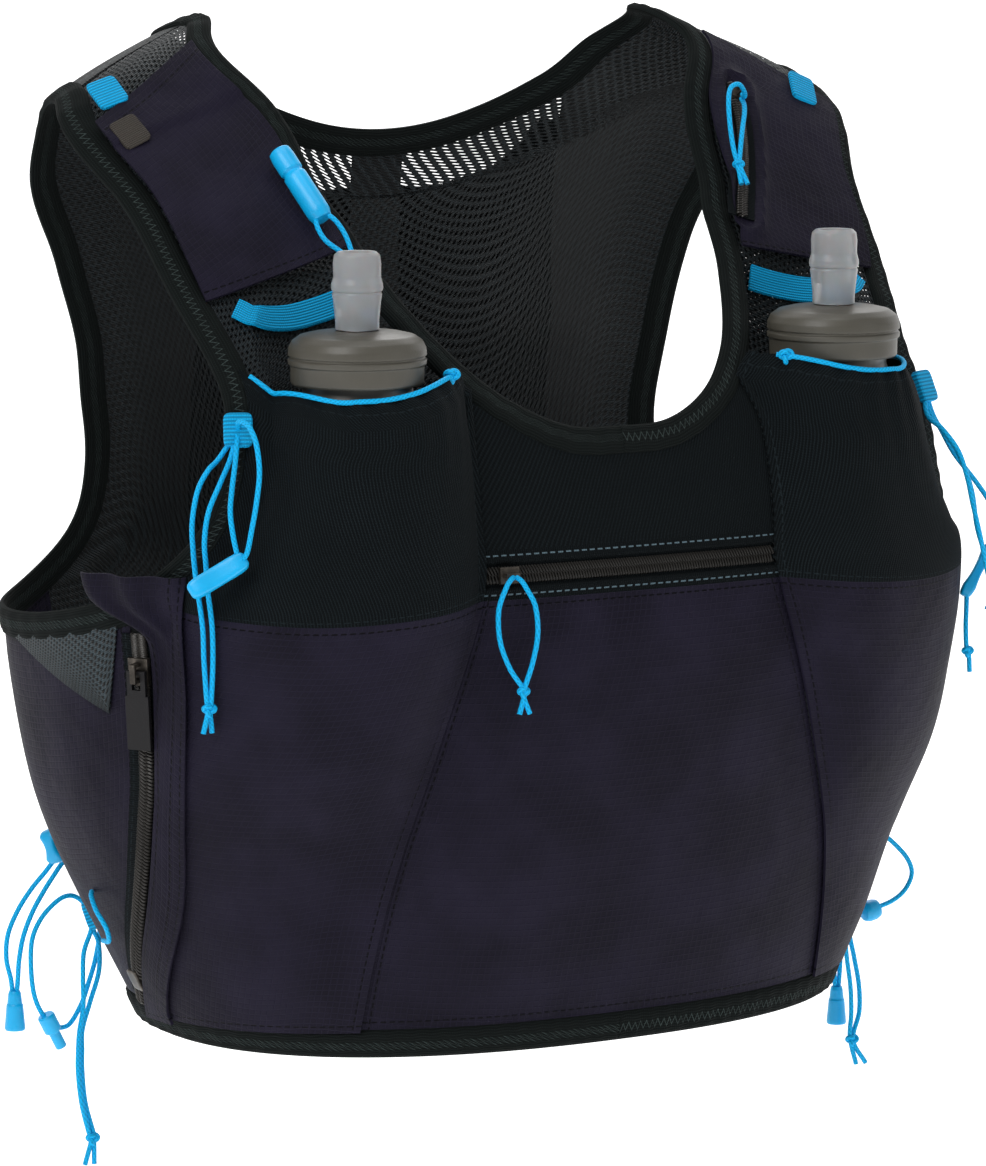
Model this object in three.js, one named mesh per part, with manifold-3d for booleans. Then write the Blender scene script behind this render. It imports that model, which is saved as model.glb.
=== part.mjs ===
// A running hydration vest as worn, empty: mesh body, elastic bindings, stretch pockets with two soft
// flasks, zips, and blue shock cords. Millimetres, +Z up, the wearer faces -Y and -X is their right.
// The origin lies between the inner ends of the two shoulder ridges, where the vest sits on its wearer.
import * as THREE from "three";
import { mergeVertices } from "three/addons/utils/BufferGeometryUtils.js";
import Module from "manifold-3d";

const wasm = await Module();
wasm.setup();

// Torso form
const HEIGHT = 375; // shoulder ridge down to the hem
const CHEST_HALF_WIDTH = 199;
const CHEST_DEPTH = 124; // form centre to the chest
const BACK_DEPTH = 90; // form centre to the lower back
const HEM_LEAD = 50; // how far the hem's centre sits ahead of the shoulders

// Cloth
const CLOTH = 1.1;
const LAYER_GAP = 0.8; // between a base layer and the cloth sewn on it
const SEAM_GAP = 0.4; // between two panels that meet edge to edge
const EDGE_GAP = 0.9; // between a binding and the cloth beside it
const BINDING_WIDTH = 11;
const BINDING_PROUD = 1; // how far a binding stands out of the cloth on each side
const ZIP_TOP = 187; // the front zip's band, below the shoulder ridge
const ZIP_BOTTOM = 205;
const POUCH_PUFF = 5; // how far the centre pouch swells over its edges
const SHOULDER_PUFF = 3.5;
const BACK_PUFF = 2;

// Flasks
const FLASK_TOP = 119; // the neck's rim, below the shoulder ridge
const FLASK_FRONT = 23; // the pocket's face over a flask, off the form
const FLASK_DENT = 16.5; // how far a flask presses the mesh behind it in
const FLASK_WALL = 1;
const FLASK_CLEAR = 1.4; // between a flask and the cloth round it
const FLASK_SIDES = 10;
const FLASK_FILL = 0.8; // a flask's width as a share of its bulge
const NECK_AXIS = [102, -134]; // where the neck stands on the wearer's left
const NECK_RADIUS = 20;
const CAP_RADIUS = 25;
const CAP_HEIGHT = 19;
const CAP_SKIRT = 7; // how far the cap reaches down over the neck's rim
const CAP_WALL = 3;
const VALVE_RADIUS = 8.5;
const VALVE_COLLAR = 10.5;
const VALVE_HEIGHT = 28;
const VALVE_BORE = 5.5;

// Zips
const COIL_WIDTH = 5.6;
const FINE_COIL_WIDTH = 4;
const COIL_HEIGHT = 1.8;
const TAPE_WIDTH = 15;
const TAPE = 0.9;
const TAB_LENGTH = 31;
const TAB_WIDTH = 9.5;
const TAB_THICKNESS = 1.6;

// Cords and webbing
const CORD_DIAMETER = 1.9;
const CORD_SIDES = 8;
const CORD_STEP = 4.5; // cord diameters between a cord's sections
const KNOT_RADIUS = 2.6;
const WEBBING = 1.2;
const BAND_WIDTH = 8;
const TOUCH = 0.3; // between a piece and what it is seated on

const TOP_LAYER = CLOTH + LAYER_GAP;
const { degToRad, radToDeg, lerp, clamp } = THREE.MathUtils;

// Horizontal sections of the torso form, from the hem to above the shoulders. height is a share of
// HEIGHT; width, front and back are shares of the chest's half width and depths; square is the
// exponent of the rounded outline; lead is a share of HEM_LEAD.
const SECTIONS = [
  { height: -1.0, width: 0.693, front: 0.774, back: 1.0, square: 2.3, lead: 1.0 },
  { height: -0.773, width: 0.89, front: 0.911, back: 0.978, square: 2.4, lead: 0.84 },
  { height: -0.579, width: 0.945, front: 1.0, back: 0.933, square: 2.5, lead: 0.7 },
  { height: -0.403, width: 0.985, front: 0.976, back: 0.778, square: 2.9, lead: 0.54 },
  { height: -0.333, width: 0.995, front: 0.847, back: 0.711, square: 3.0, lead: 0.5 },
  { height: -0.253, width: 1.0, front: 0.653, back: 0.667, square: 3.0, lead: 0.42 },
  { height: -0.163, width: 0.955, front: 0.419, back: 0.6, square: 3.0, lead: 0.36 },
  { height: -0.073, width: 0.789, front: 0.274, back: 0.467, square: 2.6, lead: 0.26 },
  { height: 0.0, width: 0.472, front: 0.226, back: 0.378, square: 2.6, lead: 0.0 },
  { height: 0.032, width: 0.276, front: 0.177, back: 0.333, square: 2.6, lead: -0.08 },
];
const TRAITS = ["width", "front", "back", "square", "lead"];

// The form's outline at a height: each trait follows a smooth cubic through the sections.
function section(z) {
  const height = z / HEIGHT;
  const last = SECTIONS.length - 2;
  let i = 0;
  while (i < last && SECTIONS[i + 1].height < height) i++;
  const span = SECTIONS[i + 1].height - SECTIONS[i].height;
  const t = (height - SECTIONS[i].height) / span;
  const slope = (k, trait) => {
    const below = SECTIONS[Math.max(k - 1, 0)];
    const above = SECTIONS[Math.min(k + 1, SECTIONS.length - 1)];
    return ((above[trait] - below[trait]) / (above.height - below.height)) * span;
  };
  const out = {};
  for (const trait of TRAITS) {
    const from = SECTIONS[i][trait];
    const rise = SECTIONS[i + 1][trait] - from;
    const start = slope(i, trait);
    const end = slope(i + 1, trait);
    out[trait] = from + t * start + t ** 2 * (3 * rise - 2 * start - end) + t ** 3 * (start + end - 2 * rise);
  }
  return out;
}

// The point of the form at an angle from the front (degrees, positive towards the wearer's left).
function formPoint(angle, z) {
  const { width, front, back, square, lead } = section(z);
  const s = Math.sin(degToRad(angle));
  const c = Math.cos(degToRad(angle));
  const depth = c >= 0 ? front * CHEST_DEPTH : back * BACK_DEPTH;
  const flat = Math.abs(s / (width * CHEST_HALF_WIDTH)) ** square + Math.abs(c / depth) ** square;
  const reach = flat ** (-1 / square);
  return new THREE.Vector3(reach * s, -lead * HEM_LEAD - reach * c, z);
}

// The form's outward direction, from its slopes round and up.
function formNormal(angle, z) {
  const round = formPoint(angle + 0.5, z).sub(formPoint(angle - 0.5, z));
  const rise = formPoint(angle, z + 1).sub(formPoint(angle, z - 1));
  return round.cross(rise).normalize();
}

// A point that stands a distance out of the form.
function offForm([angle, z], out) {
  return formPoint(angle, z).addScaledVector(formNormal(angle, z), out);
}

// The angle and height of the form nearest to a point close to it.
function onForm(point, near) {
  const turned = radToDeg(Math.atan2(point.x, -(point.y + section(point.z).lead * HEM_LEAD)));
  return [turned + 360 * Math.round((near - turned) / 360), point.z];
}

// A smooth line on the form through points of angle and share of HEIGHT below the ridge. Each line is
// a function of a parameter from 0 to 1 that gives [angle, z].
function line(points, closed = false) {
  const stops = points.map(([angle, share]) => new THREE.Vector3(angle, -share * HEIGHT, 0));
  const curve = new THREE.CatmullRomCurve3(stops, closed, "catmullrom", 0.5);
  return (t) => curve.getPoint(closed ? t : clamp(t, 0, 1)).toArray().slice(0, 2);
}

const stretch = (at, from, to) => (t) => at(lerp(from, to, t));
const straight = (from, to) => (t) => [lerp(from[0], to[0], t), lerp(from[1], to[1], t)];
const lifted = (at, rise) => (t) => [at(t)[0], at(t)[1] + rise];
const across = (at) => (t) => [-at(t)[0], at(t)[1]]; // the same line on the wearer's right

// Lines end to end, each with its share of the parameter.
const joined = (...parts) => (t) => {
  let start = 0;
  for (const [at, share] of parts) {
    if (t <= start + share || at === parts[parts.length - 1][0]) return at((t - start) / share);
    start += share;
  }
};

// A line moved across the form, to the right of its travel as seen from outside.
function beside(at, distance) {
  return (t) => {
    const here = at(t);
    const travel = formPoint(...at(t + 0.002)).sub(formPoint(...at(t - 0.002)));
    const across = travel.cross(formNormal(...here)).setLength(Math.abs(distance));
    return onForm(formPoint(...here).addScaledVector(across, Math.sign(distance)), here[0]);
  };
}

// The parameter between two others at which the line's angle (0) or height (1) passes a value.
function find(at, which, value, from = 0, to = 1) {
  const rising = at(to)[which] > at(from)[which];
  for (let k = 0; k < 40; k++) {
    const middle = (from + to) / 2;
    if (at(middle)[which] < value === rising) from = middle;
    else to = middle;
  }
  return (from + to) / 2;
}

// The patch between four lines: top and bottom run one way round, left and right run downwards.
const patch = (top, bottom, left, right) => (u, v) =>
  [0, 1].map((k) => {
    const corners =
      (1 - u) * (1 - v) * top(0)[k] + u * (1 - v) * top(1)[k] + (1 - u) * v * bottom(0)[k] + u * v * bottom(1)[k];
    const sides = (1 - u) * left(v)[k] + u * right(v)[k];
    return (1 - v) * top(u)[k] + v * bottom(u)[k] + sides - corners;
  });

// The ribbon from a line to a width beside it.
const ribbon = (at, width) => (u, v) => (v === 0 ? at(u) : beside(at, width * v)(u));

// Triangles over a solid's vertices as a geometry whose faces point out.
function solid(vertices, faces) {
  let volume = 0;
  for (const [a, b, c] of faces) volume += vertices[a].dot(vertices[b].clone().cross(vertices[c]));
  const index = volume < 0 ? faces.flatMap(([a, b, c]) => [a, c, b]) : faces.flat();
  const geometry = new THREE.BufferGeometry().setFromPoints(vertices);
  geometry.setIndex(index);
  geometry.computeVertexNormals();
  return geometry;
}

// Cloth over a map of the form, between two distances off it, each a number or a function of angle
// and height. A loop closes on itself along its first parameter.
function cloth(map, [across, down], inner, outer, loop = false, gridded = false) {
  const columns = loop ? across : across + 1;
  const vertices = [];
  for (const off of [inner, outer])
    for (let j = 0; j <= down; j++)
      for (let i = 0; i < columns; i++) {
        const place = map(i / across, j / down);
        const given = gridded ? [i / across, j / down] : place;
        vertices.push(offForm(place, typeof off === "number" ? off : off(...given)));
      }
  const layer = columns * (down + 1);
  const at = (side, i, j) => side * layer + j * columns + (i % columns);
  const faces = [];
  const quad = (a, b, c, d) => faces.push([a, b, c], [a, c, d]);
  for (let i = 0; i < across; i++)
    for (let j = 0; j < down; j++) {
      quad(at(1, i, j), at(1, i, j + 1), at(1, i + 1, j + 1), at(1, i + 1, j));
      quad(at(0, i, j), at(0, i + 1, j), at(0, i + 1, j + 1), at(0, i, j + 1));
    }
  for (let i = 0; i < across; i++) {
    quad(at(0, i, 0), at(1, i, 0), at(1, i + 1, 0), at(0, i + 1, 0));
    quad(at(0, i, down), at(0, i + 1, down), at(1, i + 1, down), at(1, i, down));
  }
  for (let j = 0; j < down && !loop; j++) {
    quad(at(0, 0, j), at(0, 0, j + 1), at(1, 0, j + 1), at(1, 0, j));
    quad(at(0, across, j), at(1, across, j), at(1, across, j + 1), at(0, across, j + 1));
  }
  return solid(vertices, faces);
}

// Pattern lines on the wearer's left half; the right half mirrors them.
const NECK = [
  [0, 0.389], [10, 0.386], [20, 0.362], [29, 0.324], [41.5, 0.255], [51, 0.201], [58.3, 0.164],
  [67, 0.104], [72, 0.071], [82, 0.012], [90, 0], [98, 0.009], [108.5, 0.032], [120, 0.072],
  [135, 0.101], [155, 0.119], [180, 0.125],
];
const ARM = [
  [90, 0.083], [77.5, 0.156], [66.5, 0.256], [58.8, 0.34], [57.3, 0.4], [60.5, 0.472], [70, 0.535],
  [84, 0.566], [97, 0.574], [108, 0.562], [115.5, 0.52], [117, 0.455], [113.9, 0.355], [108.5, 0.22],
  [100, 0.108],
];
const FRONT_SEAM = line([[27.5, 0.33], [27, 0.47], [27.5, 0.545], [35.5, 0.69], [43, 0.813], [51.5, 0.972]]);
const SIDE_ZIP = line([[68.5, 0.53], [69.3, 0.58], [70, 0.643], [72, 0.744], [78.5, 0.851], [92, 0.972]]);
const PLACKET_EDGE = line([[62, 0.5], [63.2, 0.56], [64, 0.643], [67, 0.76], [72, 0.86], [83, 0.968]]);
const POUCH_EDGE = [[27, 0.546], [36, 0.553], [47.6, 0.556], [58.7, 0.549]];
const BACK_POCKET_EDGE = [[121, 0.125], [129, 0.152], [140, 0.182], [155, 0.189], [180, 0.186]];

// The neck's edge, once round from the front: its half and the half's mirror image, with one more
// point past each end so that it runs on smoothly.
function neckLoop() {
  const back = NECK.slice(0, -1).reverse().map(([angle, share]) => [360 - angle, share]);
  const whole = [...NECK, ...back];
  const ahead = [-NECK[1][0], NECK[1][1]];
  const behind = [360 + NECK[1][0], NECK[1][1]];
  const at = line([ahead, ...whole, behind]);
  const spans = whole.length + 1;
  return (t) => at((1 + (t - Math.floor(t)) * (whole.length - 1)) / spans);
}
const neckEdge = neckLoop();
const armEdge = line(ARM, true);
const neckCloth = beside(neckEdge, BINDING_WIDTH + EDGE_GAP);
const armCloth = beside(armEdge, BINDING_WIDTH + EDGE_GAP);
const armStop = (k) => k / ARM.length; // the parameter of the arm edge's stop k
const HEM_CLOTH = -HEIGHT + BINDING_WIDTH + SEAM_GAP;
const HALF_GAP = SEAM_GAP / 2;
const RIDGE_GAP = 0.0155; // of an edge line's length, between a shoulder ridge and the cloth that ends there
const neckRidge = find(neckEdge, 0, 90, 0, 0.5);

// Where pattern lines meet
const yokeCorner = find(neckCloth, 0, FRONT_SEAM(0)[0] + 0.1, 0.03, neckRidge);
const seamTop = find(FRONT_SEAM, 1, neckCloth(yokeCorner)[1]);
const pouchEnd = find(armCloth, 1, -0.545 * HEIGHT, armStop(4), armStop(7));
const backCorner = find(armCloth, 0, 112, armStop(8), armStop(10.5));
const shareOf = ([angle, z]) => [angle, -z / HEIGHT];
const BACK_SEAM = line([shareOf(armCloth(backCorner)), [113.4, 0.72], [116, 0.972]]);
const pouchLine = line([...POUCH_EDGE, shareOf(armCloth(pouchEnd))]);

// A pattern line from one height down to another.
function between(at, top, bottom) {
  return stretch(at, find(at, 1, top), find(at, 1, bottom));
}

// A smooth rise and fall with height: stops of share of HEIGHT and value.
function profile(stops) {
  const curve = new THREE.CatmullRomCurve3(
    stops.map(([share, value]) => new THREE.Vector3(-share * HEIGHT, value, 0)),
    false,
    "catmullrom",
    0.5,
  );
  const at = (t) => curve.getPoint(t).toArray();
  return (z) => at(find(at, 0, clamp(z, at(1)[0], at(0)[0])))[1];
}

// How a flask sits: the angle of its middle and how many degrees its bulge reaches to each side, how
// deep it presses the mesh behind it and how far it lifts the pocket in front.
const flaskMiddle = profile([[0.24, 43], [0.34, 43], [0.44, 42.7], [0.55, 45.5], [0.65, 49], [0.75, 53], [0.85, 56]]);
const inwardReach = profile([[0.24, 14], [0.34, 14.3], [0.44, 14.8], [0.55, 17], [0.65, 15.5], [0.75, 12.8]]);
const outwardReach = profile([
  [0.24, 15], [0.3, 14], [0.34, 10.7], [0.4, 9.6], [0.44, 10.6], [0.472, 12], [0.5, 14.5], [0.55, 19], [0.75, 19],
]);
const dentDepth = profile([[0.24, 0], [0.28, 0.7], [0.315, 1], [0.42, 0.8], [0.6, 0.5], [0.76, 0], [0.8, 0]]);
const bulgeHeight = profile([[0.3, 1.08], [0.36, 1], [0.45, 0.95], [0.56, 0.9], [0.68, 0.6], [0.78, 0.12], [0.84, 0]]);

// 1 at the middle of a flask, 0 where its bulge ends.
function flaskShare(angle, z) {
  const side = Math.abs(angle) - flaskMiddle(z);
  const reach = Math.abs(side) / (side < 0 ? inwardReach(z) : outwardReach(z));
  return reach < 1 ? 1 - reach ** 3 : 0;
}
const strapFace = (angle, z) => -FLASK_DENT * dentDepth(z) * flaskShare(angle, z);
const pocketFace = (angle, z) => TOP_LAYER + (FLASK_FRONT - TOP_LAYER) * bulgeHeight(z) * flaskShare(angle, z);
const thicker = (off, by) => (angle, z) => off(angle, z) + by;

// A flask's rings below its neck: share of HEIGHT and share of its full width.
const FLASK_RINGS = [
  { share: 0.388, width: 0.88 }, { share: 0.42, width: 1 }, { share: 0.49, width: 1 }, { share: 0.57, width: 1 },
  { share: 0.65, width: 0.93 }, { share: 0.7, width: 0.75 }, { share: 0.73, width: 0.45 },
];

const group = new THREE.Group();
const COLOURS = {
  mesh: { color: 0x16191a, roughness: 0.9 },
  stretch: { color: 0x12181a, roughness: 0.85 },
  ripstop: { color: 0x24212c, roughness: 0.7 },
  binding: { color: 0x101716, roughness: 0.9 },
  blue: { color: 0x12a5e8, roughness: 0.6 },
  zip: { color: 0x2b2722, roughness: 0.45, metalness: 0.3 },
  metal: { color: 0x3a3732, roughness: 0.4, metalness: 0.8 },
  tab: { color: 0x2e2e30, roughness: 0.6 },
  flask: { color: 0x55523f, roughness: 0.4 },
  cap: { color: 0x5f5c52, roughness: 0.5 },
  valve: { color: 0xd8dcdf, roughness: 0.3 },
  label: { color: 0x4a4642, roughness: 0.8 },
};

function add(name, geometry, colour) {
  const mesh = new THREE.Mesh(geometry, new THREE.MeshStandardMaterial(COLOURS[colour]));
  mesh.name = name;
  group.add(mesh);
}

// The wearer's two sides: a name and the sign of its angles.
const SIDES = [["left", 1], ["right", -1]];
const onSide = (map, sign) => (u, v) => [sign * map(u, v)[0], map(u, v)[1]];

// Shoulder straps: mesh from the ridge down behind each bottle pocket
const STRAP_BOTTOM = -0.78 * HEIGHT;
const outerSeam = beside(FRONT_SEAM, -HALF_GAP);
const strapInner = joined(
  [stretch(beside(neckEdge, BINDING_WIDTH + 4.2 * EDGE_GAP), neckRidge - RIDGE_GAP, yokeCorner), 0.5],
  [stretch(outerSeam, seamTop, find(outerSeam, 1, STRAP_BOTTOM)), 0.5],
);
const strapOuter = joined(
  [stretch(armCloth, RIDGE_GAP, armStop(5)), 0.5],
  [straight(armCloth(armStop(5)), [60, STRAP_BOTTOM]), 0.5],
);
const strap = patch(
  straight(strapInner(0), strapOuter(0)),
  straight(strapInner(1), strapOuter(1)),
  strapInner,
  strapOuter,
);
for (const [side, sign] of SIDES)
  add(`shoulder_strap_${side}`, cloth(onSide(strap, sign), [6, 18], strapFace, thicker(strapFace, CLOTH)), "mesh");

// Front yoke between the straps, above the zip
const innerSeam = beside(FRONT_SEAM, HALF_GAP);
function yokeTop(u) {
  const [angle, z] = neckCloth(1 + yokeCorner * lerp(-1, 1, u));
  return [angle > 180 ? angle - 360 : angle, z];
}
// A level line across the front from seam to seam.
function levelFront(z) {
  const [angle] = innerSeam(find(innerSeam, 1, z));
  return straight([-angle, z], [angle, z]);
}
function frontPanel(top, bottom, from, to) {
  const side = between(innerSeam, from, to);
  return patch(top, bottom, across(side), side);
}
const yoke = frontPanel(yokeTop, levelFront(-ZIP_TOP), neckCloth(yokeCorner)[1], -ZIP_TOP);
add("front_yoke", cloth(yoke, [10, 3], 0, CLOTH), "stretch");

// Front zip: its band of tape and coil across the chest, and its slider at the wearer's right end
const ROWS = [0, 0.38, 0.4, 0.6, 0.62, 1]; // across a zip: tape, coil, tape
const zipBand = (u, v) => {
  const z = lerp(-ZIP_TOP - SEAM_GAP, -ZIP_BOTTOM + SEAM_GAP, ROWS[Math.round(5 * v)]);
  return levelFront(z)(u);
};
const onCoil = (z) => Math.abs(z + (ZIP_TOP + ZIP_BOTTOM) / 2) < FINE_COIL_WIDTH / 2;
const bandFace = (angle, z) => (onCoil(z) ? CLOTH + COIL_HEIGHT : CLOTH);
add("front_zip", cloth(zipBand, [8, 5], 0, bandFace), "zip");

// Centre pouch under the zip, and the side pockets that carry on round from it
const fullness = profile([[0.545, 0], [0.6, 0.6], [0.72, 1], [0.88, 0.7], [0.972, 0]]);
function pouchFace(angle, z) {
  const [seamAngle] = innerSeam(find(innerSeam, 1, z));
  return POUCH_PUFF * fullness(z) * (1 - Math.min(1, Math.abs(angle / seamAngle)) ** 3);
}
const pouchTop = -ZIP_BOTTOM - SEAM_GAP;
const centrePouch = frontPanel(levelFront(pouchTop), levelFront(HEM_CLOTH), pouchTop, HEM_CLOTH);
add("centre_pouch", cloth(centrePouch, [8, 8], pouchFace, thicker(pouchFace, CLOTH)), "ripstop");

// The side pocket runs from the front seam to the side zip's line, with clear millimetres left there.
function sidePocket(clear) {
  const front = between(outerSeam, pouchLine(0)[1], HEM_CLOTH);
  const zipSide = beside(SIDE_ZIP, clear);
  const head = find(armCloth, 0, zipSide(0.12)[0], armStop(5), armStop(8));
  const top = joined([lifted(pouchLine, -HALF_GAP), 0.8], [stretch(armCloth, pouchEnd, head), 0.2]);
  const back = between(zipSide, armCloth(head)[1], HEM_CLOTH);
  return patch(top, straight(front(1), back(1)), front, back);
}
// The panel under the arm runs from there to the back seam.
function sidePanel(clear) {
  const zipSide = beside(SIDE_ZIP, -clear);
  const head = find(armCloth, 0, zipSide(0.14)[0], armStop(5), armStop(8));
  const front = between(zipSide, armCloth(head)[1], HEM_CLOTH);
  const back = between(beside(BACK_SEAM, HALF_GAP), armCloth(backCorner)[1] - 1, HEM_CLOTH);
  const top = joined([stretch(armCloth, head, backCorner - 0.01), 0.97], [straight(armCloth(backCorner - 0.01), back(0)), 0.03]);
  return patch(top, straight(front(1), back(1)), front, back);
}
const POCKETS = { left: HALF_GAP, right: TAPE_WIDTH / 2 + EDGE_GAP };
for (const [side, sign] of SIDES) {
  const pocket = onSide(sidePocket(POCKETS[side]), sign);
  add(`side_pocket_${side}`, cloth(pocket, [9, 8], pocketFace, thicker(pocketFace, CLOTH)), "ripstop");
  add(`side_panel_${side}`, cloth(onSide(sidePanel(POCKETS[side]), sign), [6, 7], 0, CLOTH), "ripstop");
}

// Bottle pockets: stretch cloth over each flask, from the mouth to the side pocket
const pocketNeck = beside(neckEdge, BINDING_WIDTH + 2 * EDGE_GAP);
const mouthNeck = find(pocketNeck, 1, -0.34 * HEIGHT, 0.03, neckRidge);
const mouthArm = find(armCloth, 1, -0.325 * HEIGHT, armStop(1.5), armStop(4));
const MOUTH_STOPS = [[33, 0.358], [38, 0.374], [44, 0.378], [49, 0.37]];
const mouthLine = line(
  [pocketNeck(mouthNeck), ...MOUTH_STOPS.map(([angle, share]) => [angle, -share * HEIGHT]), armCloth(mouthArm)].map(shareOf),
);
const neckCorner = find(pocketNeck, 0, outerSeam(seamTop + 0.03)[0], 0.03, neckRidge);
const pocketSeam = joined(
  [stretch(pocketNeck, mouthNeck, neckCorner), 0.12],
  [between(outerSeam, pocketNeck(neckCorner)[1] - 0.5, pouchLine(0)[1] + HALF_GAP), 0.88],
);
const bottlePocket = patch(
  mouthLine,
  lifted(pouchLine, HALF_GAP),
  pocketSeam,
  stretch(armCloth, mouthArm, pouchEnd),
);
for (const [side, sign] of SIDES) {
  const pocket = cloth(onSide(bottlePocket, sign), [9, 7], pocketFace, thicker(pocketFace, CLOTH));
  add(`bottle_pocket_${side}`, pocket, "stretch");
}

// Back: one mesh panel from ridge to hem, and a wide stretch pocket sewn over its lower part
const backSide = beside(BACK_SEAM, -HALF_GAP);
const backArm = beside(armEdge, BINDING_WIDTH + 2.4 * EDGE_GAP);
const backNeck = beside(neckEdge, BINDING_WIDTH + 2.6 * EDGE_GAP);
const ridgeStart = neckRidge + RIDGE_GAP;
const backEdge = joined(
  [straight(backNeck(ridgeStart), backArm(1 - RIDGE_GAP)), 1 / 14],
  [stretch(backArm, 1 - RIDGE_GAP, backCorner), 7 / 14],
  [between(backSide, backArm(backCorner)[1] - 1.5, HEM_CLOTH), 6 / 14],
);
const around = (at) => (t) => [360 - at(t)[0], at(t)[1]];
const backTop = stretch(backNeck, ridgeStart, 1 - ridgeStart);
const back = patch(backTop, straight(backEdge(1), around(backEdge)(1)), backEdge, around(backEdge));
add("back_panel", cloth(back, [20, 14], 0, CLOTH), "mesh");

const pocketArm = beside(armEdge, BINDING_WIDTH + 1.5);
const pocketEdge = joined(
  [stretch(pocketArm, armStop(13.1), backCorner + 0.01), 0.42],
  [between(beside(BACK_SEAM, -1.5), pocketArm(backCorner + 0.01)[1] - 8, HEM_CLOTH), 0.58],
);
const halfPocketTop = line([shareOf(pocketEdge(0)), ...BACK_POCKET_EDGE]);
const backPocketTop = joined([halfPocketTop, 0.5], [(t) => around(halfPocketTop)(1 - t), 0.5]);
const backPocket = patch(backPocketTop, straight(pocketEdge(1), around(pocketEdge)(1)), pocketEdge, around(pocketEdge));
const backFullness = profile([[0.19, 0.15], [0.3, 0.6], [0.6, 1], [0.85, 0.7], [0.972, 0]]);
const backFace = (angle, z) => TOP_LAYER + 1.8 + BACK_PUFF * backFullness(z);
add("back_pocket", cloth(backPocket, [12, 9], backFace, thicker(backFace, CLOTH)), "stretch");

// Shoulder pockets over the straps: a pouch on the wearer's right, a zipped one on the left
const shoulderPuff = profile([[0.08, 0], [0.13, 0.8], [0.19, 1], [0.24, 0.7], [0.265, 0]]);
// A shoulder pocket between two shares of height at its inner side and two at its outer side.
function shoulderMap(innerTop, innerBottom, outerTop, outerBottom) {
  const near = beside(neckEdge, BINDING_WIDTH + 4.6 * EDGE_GAP);
  const far = beside(armEdge, BINDING_WIDTH + 2 * EDGE_GAP);
  const t = (at, share, from, to) => find(at, 1, -share * HEIGHT, from, to);
  const inner = stretch(near, t(near, innerTop, yokeCorner, neckRidge), t(near, innerBottom, yokeCorner, neckRidge));
  const outer = stretch(far, t(far, outerTop, 0, armStop(4)), t(far, outerBottom, 0, armStop(4)));
  return patch(straight(inner(0), outer(0)), straight(inner(1), outer(1)), inner, outer);
}
const shoulderFace = (angle, z) => TOP_LAYER + 0.8 + SHOULDER_PUFF * shoulderPuff(z);
const pouchMap = shoulderMap(0.03, 0.225, 0.105, 0.265);
const shoulderPocketMap = shoulderMap(0.03, 0.24, 0.105, 0.265);
add("shoulder_pouch_right", cloth(onSide(pouchMap, -1), [5, 5], shoulderFace, thicker(shoulderFace, CLOTH)), "ripstop");
add("shoulder_pocket_left", cloth(shoulderPocketMap, [5, 5], shoulderFace, thicker(shoulderFace, CLOTH)), "stretch");

// Bindings
const wrap = [-BINDING_PROUD, CLOTH + BINDING_PROUD];
add("neck_binding", cloth(ribbon(neckEdge, BINDING_WIDTH), [56, 1], ...wrap, true), "binding");
for (const [side, sign] of SIDES) {
  const band = cloth(onSide(ribbon(armEdge, BINDING_WIDTH), sign), [40, 1], ...wrap, true);
  add(`arm_binding_${side}`, band, "binding");
}
const hemBand = (u, v) => [360 * u, -HEIGHT + BINDING_WIDTH * v];
add("hem_binding", cloth(hemBand, [40, 1], ...wrap, true), "binding");

// Shapes turned about an axis, from a profile of radius and distance along it that starts and ends on
// the axis.
function turned(profile, base, along, sides) {
  const axis = new THREE.Vector3(...along).normalize();
  const aside = Math.abs(axis.z) < 0.9 ? new THREE.Vector3(0, 0, 1) : new THREE.Vector3(1, 0, 0);
  const first = aside.cross(axis).normalize();
  const second = axis.clone().cross(first);
  const rings = profile.map(([radius, reach]) => {
    const centre = new THREE.Vector3(...base).addScaledVector(axis, reach);
    if (radius === 0) return [centre];
    return Array.from({ length: sides }, (_, k) => {
      const turn = (2 * Math.PI * k) / sides;
      const spoke = first.clone().multiplyScalar(radius * Math.cos(turn));
      return centre.clone().add(spoke).addScaledVector(second, radius * Math.sin(turn));
    });
  });
  return stacked(rings);
}

// A closed body through rings of points that starts and ends at a single point.
function stacked(rings) {
  const starts = [0];
  for (const ring of rings) starts.push(starts[starts.length - 1] + ring.length);
  const faces = [];
  for (let level = 0; level + 1 < rings.length; level++) {
    const sides = Math.max(rings[level].length, rings[level + 1].length);
    const at = (k, i) => starts[k] + (i % rings[k].length);
    for (let i = 0; i < sides; i++) {
      if (rings[level].length > 1) faces.push([at(level, i), at(level, i + 1), at(level + 1, i)]);
      if (rings[level + 1].length > 1) faces.push([at(level, i + 1), at(level + 1, i + 1), at(level + 1, i)]);
    }
  }
  return solid(rings.flat(), faces);
}

function toSolid(geometry) {
  const bare = geometry.clone();
  bare.deleteAttribute("normal");
  bare.deleteAttribute("uv");
  const merged = mergeVertices(bare, 1e-4);
  const triVerts = new Uint32Array(merged.index.array);
  return new wasm.Manifold(new wasm.Mesh({ numProp: 3, vertProperties: merged.attributes.position.array, triVerts }));
}
function fromSolid(made) {
  const { numProp, vertProperties, triVerts } = made.getMesh();
  const geometry = new THREE.BufferGeometry();
  geometry.setAttribute("position", new THREE.BufferAttribute(vertProperties, numProp));
  geometry.setIndex(Array.from(triVerts));
  geometry.computeVertexNormals();
  return geometry;
}
const fused = (...pieces) => fromSolid(wasm.Manifold.union(pieces.map(toSolid)));
const cut = (whole, hole) => fromSolid(toSolid(whole).subtract(toSolid(hole)));

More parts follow.
